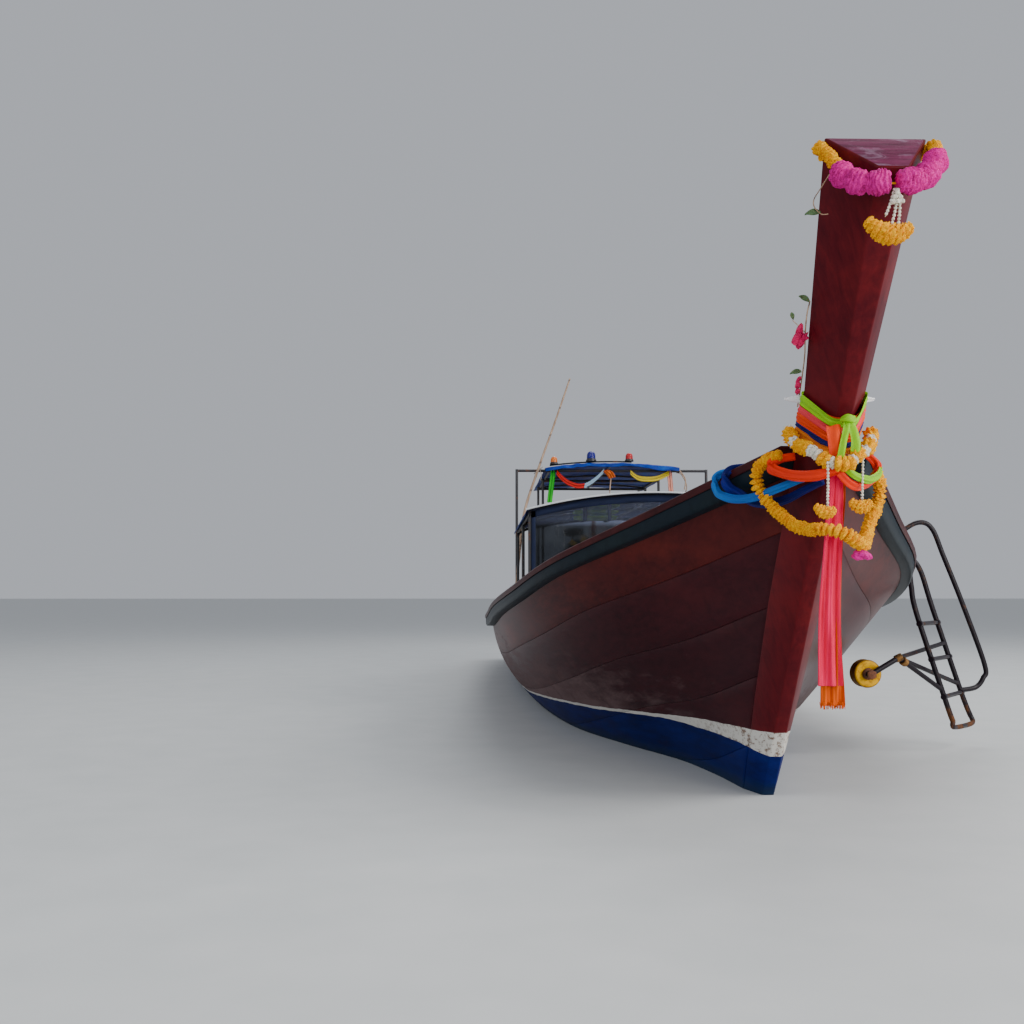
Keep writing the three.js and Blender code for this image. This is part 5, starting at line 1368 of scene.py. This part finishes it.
skyPath = ((5.88, -0.1, 1.33), (5.87, -0.14, 1.385), (5.855, -0.22, 1.379), (5.838, -0.3, 1.374),
           (5.828, -0.335, 1.362), (5.826, -0.347, 1.335), (5.838, -0.343, 1.304), (5.87, -0.332, 1.28),
           (5.94, -0.292, 1.26), (6.02, -0.238, 1.26), (6.12, -0.182, 1.281), (6.19, -0.112, 1.31),
           (6.27, -0.05, 1.325))
royalPath = ((5.93, -0.08, 1.34), (5.92, -0.115, 1.39), (5.905, -0.2, 1.389), (5.89, -0.265, 1.385),
             (5.882, -0.305, 1.372), (5.882, -0.318, 1.34), (5.892, -0.3, 1.305), (5.91, -0.262, 1.28),
             (5.945, -0.226, 1.25), (6.01, -0.184, 1.238), (6.09, -0.132, 1.248), (6.17, -0.075, 1.28),
             (6.25, -0.04, 1.3))
orangePath = ((6.178, -0.12, 1.398), (6.18, -0.17, 1.39), (6.175, -0.202, 1.376), (6.176, -0.208, 1.36),
              (6.2, -0.186, 1.341), (6.26, -0.145, 1.32), (6.36, -0.098, 1.311), (6.42, -0.045, 1.324),
              (6.43, -0.02, 1.33))
orangePort = ((6.43, -0.035, 1.315), (6.418, 0.005, 1.28), (6.385, 0.047, 1.272), (6.3, 0.117, 1.293),
              (6.21, 0.174, 1.33), (6.19, 0.182, 1.365), (6.19, 0.15, 1.4), (6.2, 0.11, 1.41))
rollSash("sky_sash", skySashCloth, skyPath, 0.029, seed=1.0, replaced="blue_sash", lobes=4)
rollSash("royal_sash", royalSashCloth, royalPath, 0.034, seed=3.0, lobes=4)
rollSash("orange_sash_starboard", orangeSashCloth, orangePath, 0.035, seed=5.0, lobes=4)
rollSash("orange_sash_port", orangeSashCloth, orangePort, 0.031, seed=6.0, lobes=4)
limePort = ((6.43, -0.02, 1.34), (6.425, 0.02, 1.306), (6.39, 0.066, 1.296), (6.325, 0.116, 1.3),
            (6.25, 0.166, 1.325), (6.2, 0.19, 1.35))
rollSash("lime_sash_port", limeRibbon, limePort, 0.026, seed=7.0)

# Knots in front with their tails, a white bow behind, and the long rose sash with its orange edge and fringe
knotPath = ((6.43, -0.022, 1.497), (6.447, -0.008, 1.5), (6.447, 0.008, 1.497), (6.43, 0.022, 1.502))
rollSash("lime_knot", limeRibbon, knotPath, 0.026, seed=8.0, lobes=3)
limeTails = ((((6.444, -0.006, 1.49), (6.452, -0.014, 1.455), (6.456, -0.026, 1.41), (6.455, -0.036, 1.36)),
              (0, 1, 0.1), 0.026, 0.004),
             (((6.444, 0.002, 1.49), (6.454, 0.012, 1.455), (6.458, 0.018, 1.42), (6.456, 0.016, 1.382)),
              (0, 1, -0.15), 0.034, 0.005))
for k, (points, across, width, depth) in enumerate(limeTails):
    hangingStrip(f"lime_tail_{k + 1}", limeRibbon, smoothLine(points), across, width,
                 pleats=1, depth=depth)
coralDrop = smoothLine([(6.426, -0.05, 1.48), (6.44, -0.052, 1.455), (6.443, -0.048, 1.41),
                        (6.438, -0.042, 1.37), (6.42, -0.036, 1.33)], 6)
hangingStrip("coral_knot_cloth", coralRibbon, coralDrop, (0, 1, 0), 0.054,
             pleats=1, depth=0.009)
for side, y in (("starboard", -1), ("port", 1)):
    line = smoothLine([(6.25, y * 0.105, 1.6), (6.235, y * 0.135, 1.603), (6.22, y * 0.168, 1.606)], 5)
    hangingStrip(f"white_bow_{side}", whiteRibbon, line, (0.25, 0, 1), 0.036,
                 pleats=1, depth=0.003, taper=0.85)
sash = {"x": 6.412, "fallBack": 0.046, "y": -0.03, "drift": 0.032, "top": 1.44, "bottom": 0.572,
        "half": 0.023, "spread": 0.021, "rows": 60, "columns": 40}


def sashRow(share, shift=0.0, wider=0.0, seed=5.0, ahead=0.0):
    z = sash["top"] + (sash["bottom"] - sash["top"]) * share
    x = sash["x"] - sash["fallBack"] * min(share * 3, 1) + 0.004 * math.sin(share * 5) + ahead
    middle = sash["y"] - sash["drift"] * share + shift
    half = (sash["half"] + sash["spread"] * share) * (0.62 + 0.38 * min(share * 4, 1)) + wider
    row = []
    deep = 0.35 + 0.65 * min(share * 2, 1)
    for j in range(sash["columns"] + 1):
        across = j / (sash["columns"] / 2) - 1
        fold = 0.0065 * math.sin(across * 6.4 + 1.6 * math.sin(share * 4.1 + seed)) * deep
        fold += 0.0022 * math.sin(across * 19 + 3.1 * noise.noise(Vector((seed, share * 2.2, 0)))) * deep
        fold += 0.008 * noise.noise(Vector((across * 2.1, share * 3.1, seed)))
        row.append(Vector((x + fold, middle + half * across + 0.005 * math.sin(share * 7), z)))
    return row


rows = [sashRow(k / sash["rows"]) for k in range(sash["rows"] + 1)]
clothPiece(rows, "rose_sash", roseSashCloth, "pink_sash",
           thick=0.0016)
edgeCloth = cloth("orange_edge_cloth", (0.72, 0.11, 0.001), (0.36, 0.035, 0.001), sheen=0.04)
rows = [sashRow(0.08 + 1.0 * k / sash["rows"], 0.012, -0.002, 2.0, -0.014) for k in range(sash["rows"] + 1)]
clothPiece(rows, "orange_sash_edge", edgeCloth, thick=0.0014)
fringe = {"threads": 64, "x": 6.352, "y": -0.093, "wide": 0.09, "below": 0.068, "radius": 0.0012,
          "stray": 0.003}
fringeRuns = []
for k in range(fringe["threads"]):
    share = k / (fringe["threads"] - 1)
    stray = fringe["stray"]
    x = fringe["x"] + 0.008 * math.sin(share * 17) + dice.uniform(-stray, stray)
    y = fringe["y"] + fringe["wide"] * share
    drop = dice.uniform(0.005, 0.014)
    low = sash["bottom"] - fringe["below"]
    end = Vector((x + dice.uniform(-stray, stray), y + dice.uniform(-stray, stray), low - drop))
    fringeRuns.append(([Vector((x, y, low + 0.012)), end], fringe["radius"]))
finishPiece(pipeRuns(fringeRuns, 0), "sash_fringe", edgeCloth, smooth=60)

# Twig with red flowers and leaves behind the stem's edge, and a curl of wire on the head
twigs = [
    (smoothLine([(6.2, -0.112, 1.58), (6.27, -0.116, 1.66), (6.34, -0.122, 1.74), (6.41, -0.138, 1.81),
                 (6.47, -0.148, 1.86), (6.5, -0.145, 1.9)], 6), 0.0026),
    (smoothLine([(6.41, -0.138, 1.81), (6.42, -0.168, 1.835), (6.425, -0.186, 1.85)], 4), 0.0016),
    (smoothLine([(6.79, -0.158, 2.24), (6.795, -0.19, 2.19), (6.8, -0.212, 2.155), (6.8, -0.212, 2.13),
                 (6.797, -0.19, 2.108), (6.79, -0.165, 2.11)], 6), 0.0018),
]
finishPiece(pipeRuns(twigs, 1), "twig_and_wire", bambooSkin, smooth=60)
# The second colours are painted shade in the creases
redPetals = petals("red_petals", (0.7, 0.02, 0.13), (0.3, 0.006, 0.04))
leafGreen = petals("leaf_green", (0.09, 0.16, 0.07), (0.035, 0.07, 0.03), size=60)
twigFlowers = ((6.41, -0.158, 1.815, 0.022), (6.41, -0.166, 1.797, 0.02), (6.405, -0.145, 1.795, 0.02),
               (6.4, -0.156, 1.778, 0.022), (6.405, -0.17, 1.782, 0.016), (6.27, -0.126, 1.668, 0.013),
               (6.265, -0.128, 1.648, 0.015), (6.255, -0.127, 1.628, 0.013))
bm = bmesh.new()
for x, y, z, size in twigFlowers:
    way = Vector((dice.uniform(-1, 1), -1, dice.uniform(0, 1))).normalized()
    blossom(bm, Vector((x, y, z)), way, size, 0.6, petalCount=5, ruffle=0.32, detail=2)
finishPiece(bm, "twig_flowers", redPetals, smooth=60)
leaves = (((6.797, -0.19, 2.108), (0.1, -1, 0.1), 0.055), ((6.425, -0.184, 1.848), (0.2, -0.25, 1), 0.035),
          ((6.5, -0.147, 1.893), (0.1, -0.75, 0.6), 0.05), ((6.29, -0.12, 1.69), (0.1, -1, 0.05), 0.045))
for k, (root, way, length) in enumerate(leaves):
    way = Vector(way).normalized()
    across = way.cross(Vector((1, 0, 0.3))).normalized()
    rows = []
    for n in range(9):
        share = n / 8
        half = 0.24 * length * math.sin(math.pi * min(share + 0.06, 1)) ** 0.8
        point = Vector(root) + way * length * share + Vector((0, 0, -0.25 * length * share * share))
        rows.append([point + across * half * j / 2 + Vector((0, 0, 0.003 * abs(j))) for j in range(-2, 3)])
    clothPiece(rows, f"leaf_{k + 1}", leafGreen, thick=0.0008)
print("ribbons wound and tied")

# Engine. Its pieces are drawn in the engine's own frame, X along the crankshaft, and moved to the trunnions.
engine = {"trunnions": (-5.05, 0, 1.0888), "tilt": -8, "crankZ": 0.1, "foreFace": 0.562, "beamTop": 0.7454,
          "socketFlange": 0.012}
engineTilt = Matrix.Rotation(math.radians(engine["tilt"]), 4, "Y")
engineFrame = Matrix.Translation(engine["trunnions"]) @ engineTilt
engineGreen = paintedMetal("engine_green", (0.02, 0.075, 0.05), rust=0.32, rough=0.42, seed=11.0)
postPaint = paintedMetal("grey_post_paint", (0.2, 0.21, 0.22), rust=0.45, rough=0.5, seed=12.0)
cradlePaint = paintedMetal("cradle_paint", (0.03, 0.03, 0.034), rust=0.5, rough=0.5, seed=13.0)
tubePaint = paintedMetal("tail_paint", (0.26, 0.27, 0.27), rust=0.5, rough=0.5, seed=14.0)
castAlloy = paintedMetal("cast_alloy", (0.42, 0.42, 0.4), rust=0.12, rough=0.42, metal=0.8, seed=15.0,
                         rustColour=(0.12, 0.11, 0.1))
exhaustRust = paintedMetal("exhaust_rust", (0.16, 0.07, 0.035), rust=0.85, rough=0.75, seed=16.0)
filterBlack = paintedMetal("filter_black", (0.02, 0.02, 0.022), rust=0.15, rough=0.35, seed=17.0)
propBronze = paintedMetal("propeller_bronze", (0.5, 0.29, 0.1), rust=0.25, rough=0.3, metal=0.9, seed=18.0,
                          rustColour=(0.06, 0.14, 0.1))
rubberBlack = startMaterial("black_rubber", Base_Color=(0.014, 0.014, 0.015, 1), Roughness=0.62)
coat(rubberBlack, None, None, noiseOf(rubberBlack, objectCoords(rubberBlack), 160, detail=4), 0.25, 0.0006)
boltSteel = paintedMetal("bolt_steel", (0.34, 0.34, 0.35), rust=0.4, rough=0.4, metal=0.85, seed=19.0)


def engineFit(bm, name, mat, smooth, body="engine"):
    bmesh.ops.transform(bm, matrix=engineFrame, verts=bm.verts)
    return finishPiece(bm, name, mat, body=body, smooth=smooth)


# A hexagon bolt head with its washer, standing on a face
def boltHead(place, way, size):
    profile = ((0, 0), (size * 1.15, 0), (size * 1.15, size * 0.2), (size * 0.86, size * 0.22),
               (size * 0.86, size * 0.78), (size * 0.76, size * 0.88), (0, size * 0.88))
    return turned(profile, place, way, 6)


def boltsOn(name, size, places, body="engine"):
    bm = bmesh.new()
    for place, way in places:
        mergeInto(bm, boltHead(Vector(place), way, size))
    if body == "engine":
        return engineFit(bm, name, boltSteel, 25)
    return finishPiece(bm, name, boltSteel, body=body, smooth=25)


for nodeName, mat, slot, ease, body, angle in (
        ("engine_socket", postPaint, "pale_steel", 0.0025, "boat", 30),
        ("engine_yoke", postPaint, "pale_steel", 0.0025, "yoke", 30),
        ("engine_cradle", cradlePaint, "dark_steel", 0.003, "engine", 35),
        ("engine_block", engineGreen, "engine_iron", 0.005, "engine", 30),
        ("rocker_cover", castAlloy, "pale_steel", 0.004, "engine", 30),
        ("air_cleaner", filterBlack, "dark_steel", 0.006, "engine", 30),
        ("exhaust", exhaustRust, "pale_steel", 0.002, "engine", 50),
        ("tail_tube", tubePaint, "pale_steel", 0.002, "engine", 50),
        ("propeller", propBronze, "bronze", 0.0018, "propeller", 30)):
    fromCad(nodeName, mat, ease, body, angle)
mastX = engine["trunnions"][0]
flangeTop = engine["beamTop"] + engine["socketFlange"]
boltsOn("socket_bolts", 0.009, [((mastX + dx, dy, flangeTop), (0, 0, 1)) for dx in (-0.07, 0.07)
                                for dy in (-0.1, -0.05, 0.05, 0.1)], "boat")
boltsOn("head_bolts", 0.011, [((x, -0.105, 0.33), (0, -1, 0)) for x in (-0.05, 0.07, 0.19, 0.31, 0.43)])
boltsOn("mount_bolts", 0.009, [((x + dx, side * 0.16, 0.0525), (0, 0, 1)) for x in (-0.03, 0.42)
                               for dx in (-0.02, 0.02) for side in (-1, 1)])
boltsOn("cover_nuts", 0.013, [((x, 0, 0.4855), (0, 0, 1)) for x in (0.02, 0.2, 0.38)])
tailFlange = {"face": -0.3302, "circle": 0.055, "bolts": 6}
places = []
for k in range(tailFlange["bolts"]):
    angle = k * math.tau / tailFlange["bolts"]
    y, z = tailFlange["circle"] * math.cos(angle), engine["crankZ"] + tailFlange["circle"] * math.sin(angle)
    places.append(((tailFlange["face"], y, z), (-1, 0, 0)))
boltsOn("tail_flange_bolts", 0.009, places)

# Fan, belt and pulleys on the block's fore end. A belt wheel has its place in Y and Z and the belt's radius.
fan = {"x": 0.578, "z": 0.29, "blades": 5, "reach": (0.022, 0.07, 0.12, 0.165), "thick": 0.0022}
belt = {"x": 0.512, "wide": 0.016, "thick": 0.007,
        "wheels": ((0.0, engine["crankZ"], 0.0935), (0.19, 0.25, 0.0635), (0.0, fan["z"], 0.0595))}
crankHub = ((0, 0), (0.03, 0), (0.03, 0.012), (0.012, 0.016), (0, 0.016))
fanHub = ((0, 0), (0.026, 0), (0.026, 0.012), (0, 0.014))
bm = turned(crankHub, (engine["foreFace"], 0, engine["crankZ"]), (1, 0, 0), 24)
mergeInto(bm, turned(fanHub, (0.5572, 0, fan["z"]), (1, 0, 0), 24))
engineFit(bm, "pulley_hubs", boltSteel, 40)


# A taut belt round wheels that all turn one way, as points on their rims
def tautBelt(wheels):
    points = []
    count, arcSteps = len(wheels), 14
    for k in range(count):
        before, here, after = wheels[k - 1], wheels[k], wheels[(k + 1) % count]

        def touch(a, b):
            way = Vector((b[0] - a[0], b[1] - a[1]))
            tilt = math.acos((a[2] - b[2]) / way.length)
            return math.atan2(way.y, way.x) - tilt

        arrive, leave = touch(before, here), touch(here, after)
        while leave < arrive:
            leave += math.tau
        for n in range(arcSteps + 1):
            angle = arrive + (leave - arrive) * n / arcSteps
            points.append((here[0] + here[2] * math.cos(angle), here[1] + here[2] * math.sin(angle)))
    return points


rim = tautBelt(belt["wheels"])
rings = [[Vector((belt["x"] + dx, y, z)) for dx in (0, belt["wide"])] for y, z in rim + rim[:1]]
bm = sweep(rings, closed=False)
bmesh.ops.recalc_face_normals(bm, faces=bm.faces)
thicken(engineFit(bm, "fan_belt", rubberBlack, 60), belt["thick"])
bm = bmesh.new()
for k in range(fan["blades"]):
    angle = k * math.tau / fan["blades"]
    arm = Vector((0, math.cos(angle), math.sin(angle)))
    side = Vector((0, -math.sin(angle), math.cos(angle)))
    rows = []
    for r in fan["reach"]:
        half = 0.016 + 0.11 * r
        lift = 0.35 * (1 - r * 1.6)
        middle = Vector((fan["x"], 0, fan["z"])) + arm * r
        rows.append([middle + side * half * s + Vector((1, 0, 0)) * half * s * lift
                     for s in (-1, -0.4, 0.4, 1)])
    mergeInto(bm, sweep(rows, closed=False))
bmesh.ops.solidify(bm, geom=bm.faces[:], thickness=fan["thick"])
mergeInto(bm, turned(((0, 0), (0.03, 0), (0.03, 0.008), (0, 0.01)), (0.571, 0, fan["z"]), (1, 0, 0), 24))
fanYellow = paintedMetal("fan_yellow", (0.72, 0.42, 0.03), rust=0.25, rough=0.4, seed=21.0)
engineFit(bm, "cooling_fan", fanYellow, 30)

# Hoses, injectors with their fuel lines, the injection pump, the filler cap and the filter's nut
hoses = [
    (smoothLine([(0.44, 0.03, 0.405), (0.47, 0.06, 0.44), (0.53, 0.09, 0.43), (0.58, 0.1, 0.36)], 8), 0.017),
    (smoothLine([(0.1, -0.126, 0.2), (0.12, -0.17, 0.21), (0.25, -0.18, 0.24), (0.4, -0.16, 0.22),
                 (0.46, -0.126, 0.18)], 8), 0.011),
]
engineFit(pipeRuns(hoses, 3), "engine_hoses", rubberBlack, 60)
injector = ((0, 0), (0.015, 0), (0.015, 0.02), (0.01, 0.024), (0.01, 0.05), (0.006, 0.054), (0, 0.054))
lines = []
injectors = bmesh.new()
for k, x in enumerate((0.0, 0.13, 0.26, 0.39)):
    mergeInto(injectors, turned(injector, (x, -0.104, 0.365), (0, -1, 0.5), 12))
    lines.append((smoothLine([(x, -0.152, 0.388), (x, -0.18, 0.36), (0.15 + k * 0.03, -0.175, 0.28),
                              (0.16 + k * 0.025, -0.15, 0.262)], 7), 0.0032))
mergeInto(injectors, pipeRuns(lines, 1))
engineFit(injectors, "injectors_and_lines", boltSteel, 35)
pump = {"middle": (0.2, -0.152, 0.225), "size": (0.16, 0.052, 0.072, 1), "corner": 0.006}
bm = bmesh.new()
bmesh.ops.create_cube(bm, size=1)
bmesh.ops.transform(bm, matrix=Matrix.Translation(pump["middle"]) @ Matrix.Diagonal(pump["size"]),
                    verts=bm.verts)
roundEdges(bm, pump["corner"])
engineFit(bm, "injection_pump", castAlloy, 30)
cap = turned(((0, 0), (0.028, 0), (0.03, 0.006), (0.03, 0.018), (0.024, 0.024), (0.008, 0.026), (0, 0.026)),
             (0, 0.045, 0.4855), (0, 0, 1), 20)
engineFit(cap, "oil_filler_cap", filterBlack, 35)
wing = turned(((0, 0), (0.02, 0), (0.014, 0.008), (0.006, 0.012), (0.006, 0.022), (0, 0.024)),
              (0.21, -0.06, 0.6052), (0, 0, 1), 14)
engineFit(wing, "filter_nut", boltSteel, 35)

# Tiller: grip, throttle lever with its cable, and a cord wound under the grip
tillerLine = smoothLine([(1.25, 0, -0.045), (1.56, 0, -0.052), (1.72, 0, -0.05)], 12)
grip = [p for p in tillerLine if p.x > 1.575]
radii = [0.0215 + (0.0016 if k % 2 else 0) for k in range(len(grip))]
gripLine = [grip[0]] + grip + [grip[-1] + Vector((0.006, 0, 0))]
engineFit(pipeRuns([(gripLine, [0.018] + radii + [0.015])], 4), "tiller_grip", rubberBlack, 50)
leverLine = [(1.48, 0, -0.033), (1.482, 0, -0.005), (1.5, 0, 0.02), (1.56, 0, 0.036)]
cableLine = [(1.478, 0.012, -0.028), (1.3, 0.024, -0.035), (1.0, 0.03, -0.004), (0.8, 0.1, 0.03),
             (0.62, 0.13, 0.08), (0.47, 0.131, 0.15)]
lever = pipeRuns([(smoothLine(leverLine, 6), 0.005), (smoothLine(cableLine, 7), 0.0038)], 2)
leverCollar = ((0, -0.02), (0.022, -0.02), (0.024, -0.016), (0.024, 0.016), (0.022, 0.02), (0, 0.02))
mergeInto(lever, turned(leverCollar, (1.478, 0, -0.05), (1, 0, 0), 18))
engineFit(lever, "throttle_lever", cradlePaint, 40)
whipping = {"foreX": 1.54, "pitch": 0.0052, "radius": 0.0192, "z": -0.0515, "turns": 14, "perTurn": 12}
turns = []
for k in range(whipping["turns"] * whipping["perTurn"]):
    angle = k / whipping["perTurn"] * math.tau
    x = whipping["foreX"] - whipping["pitch"] * k / whipping["perTurn"]
    y, z = whipping["radius"] * math.cos(angle), whipping["z"] + whipping["radius"] * math.sin(angle)
    turns.append(Vector((x, y, z)))
engineFit(pipeRuns([(turns, 0.0026)], 1), "tiller_whipping", cordGrey, 60)

# Tail: clamps on the tube, a shaft end with its nut on the propeller
clamps = bmesh.new()
clampRing = ((0.0375, -0.018), (0.044, -0.018), (0.046, -0.014), (0.046, 0.014), (0.044, 0.018),
             (0.0375, 0.018))
for x in (-0.6, -1.2, -2.4):
    mergeInto(clamps, turned(clampRing, (x, 0, engine["crankZ"]), (1, 0, 0), 24))
engineFit(clamps, "tail_clamps", boltSteel, 35)
nut = turned(((0, 0), (0.016, 0), (0.016, 0.014), (0.01, 0.018), (0.01, 0.03), (0, 0.032)),
             (-3.86, 0, engine["crankZ"]), (-1, 0, 0), 6)
engineFit(nut, "propeller_nut", boltSteel, 25, "propeller")
print("engine fitted")

# Light: a pale glow all round and four soft panels, the strongest high on the port bow
lightPlan = {
    "sky": ((0.88, 0.92, 1.0), 0.52),
    "panels": (("port_bow_panel", (9.5, 9.5, 7.5), (2.5, 0.3, 0.8), 9.0, 1500, (1.0, 0.98, 0.95)),
               ("front_panel", (13.5, 4.5, 2.2), (5.5, 0.0, 1.0), 5.0, 420, (1.0, 0.98, 0.96)),
               ("starboard_panel", (11.5, -9.0, 6.0), (3.0, 0.0, 0.8), 7.0, 380, (0.96, 0.98, 1.0)),
               ("aft_top_panel", (-4.0, 2.0, 11.0), (0.0, 0.0, 1.0), 9.0, 650, (1.0, 1.0, 1.0))),
}
world = bpy.data.worlds.new("studio_sky")
world.use_nodes = True
world.node_tree.nodes["Background"].inputs[0].default_value = (*lightPlan["sky"][0], 1)
world.node_tree.nodes["Background"].inputs[1].default_value = lightPlan["sky"][1]
scene.world = world
for name, place, target, size, power, colour in lightPlan["panels"]:
    lamp = bpy.data.lights.new(name, "AREA")
    lamp.shape = "DISK"
    lamp.size = size
    lamp.energy = power
    lamp.color = colour
    panel = bpy.data.objects.new(name, lamp)
    panel.location = place
    panel.rotation_euler = (Vector(target) - Vector(place)).to_track_quat("-Z", "Y").to_euler()
    scene.collection.objects.link(panel)

# The floor lies at the waterline, so it's open inside the hull
floorPlan = {"reach": 150, "inset": 0.012}
half = []
for section in sections:
    outline = [section.at(section.girth * k / 200, floorPlan["inset"]) for k in range(201)]
    half.append(min(outline, key=lambda p: abs(p.z)))
shore = [(p.x, p.y) for p in half] + [(p.x, -p.y) for p in reversed(half)]
bm = bmesh.new()
reach = floorPlan["reach"]
for loop in (shore, [(reach, reach), (-reach, reach), (-reach, -reach), (reach, -reach)]):
    verts = [bm.verts.new((x, y, 0)) for x, y in loop]
    for a, b in zip(verts, verts[1:] + verts[:1]):
        bm.edges.new((a, b))
bmesh.ops.triangle_fill(bm, use_beauty=True, edges=bm.edges[:])
bmesh.ops.recalc_face_normals(bm, faces=bm.faces)
if sum(face.normal.z for face in bm.faces) < 0:
    bmesh.ops.reverse_faces(bm, faces=bm.faces)
floorMesh = bpy.data.meshes.new("studio_floor")
bm.to_mesh(floorMesh)
bm.free()
floor = bpy.data.objects.new("studio_floor", floorMesh)
floorMat = startMaterial("floor_paint", Roughness=0.65)
speckle = noiseOf(floorMat, objectCoords(floorMat), 3.0, detail=2)
coat(floorMat, rampOf(floorMat, speckle, (0.3, (0.56, 0.58, 0.58)), (0.7, (0.6, 0.615, 0.615))), 0.65)
floorMesh.materials.append(floorMat)
scene.collection.objects.link(floor)
print("floor and light set")
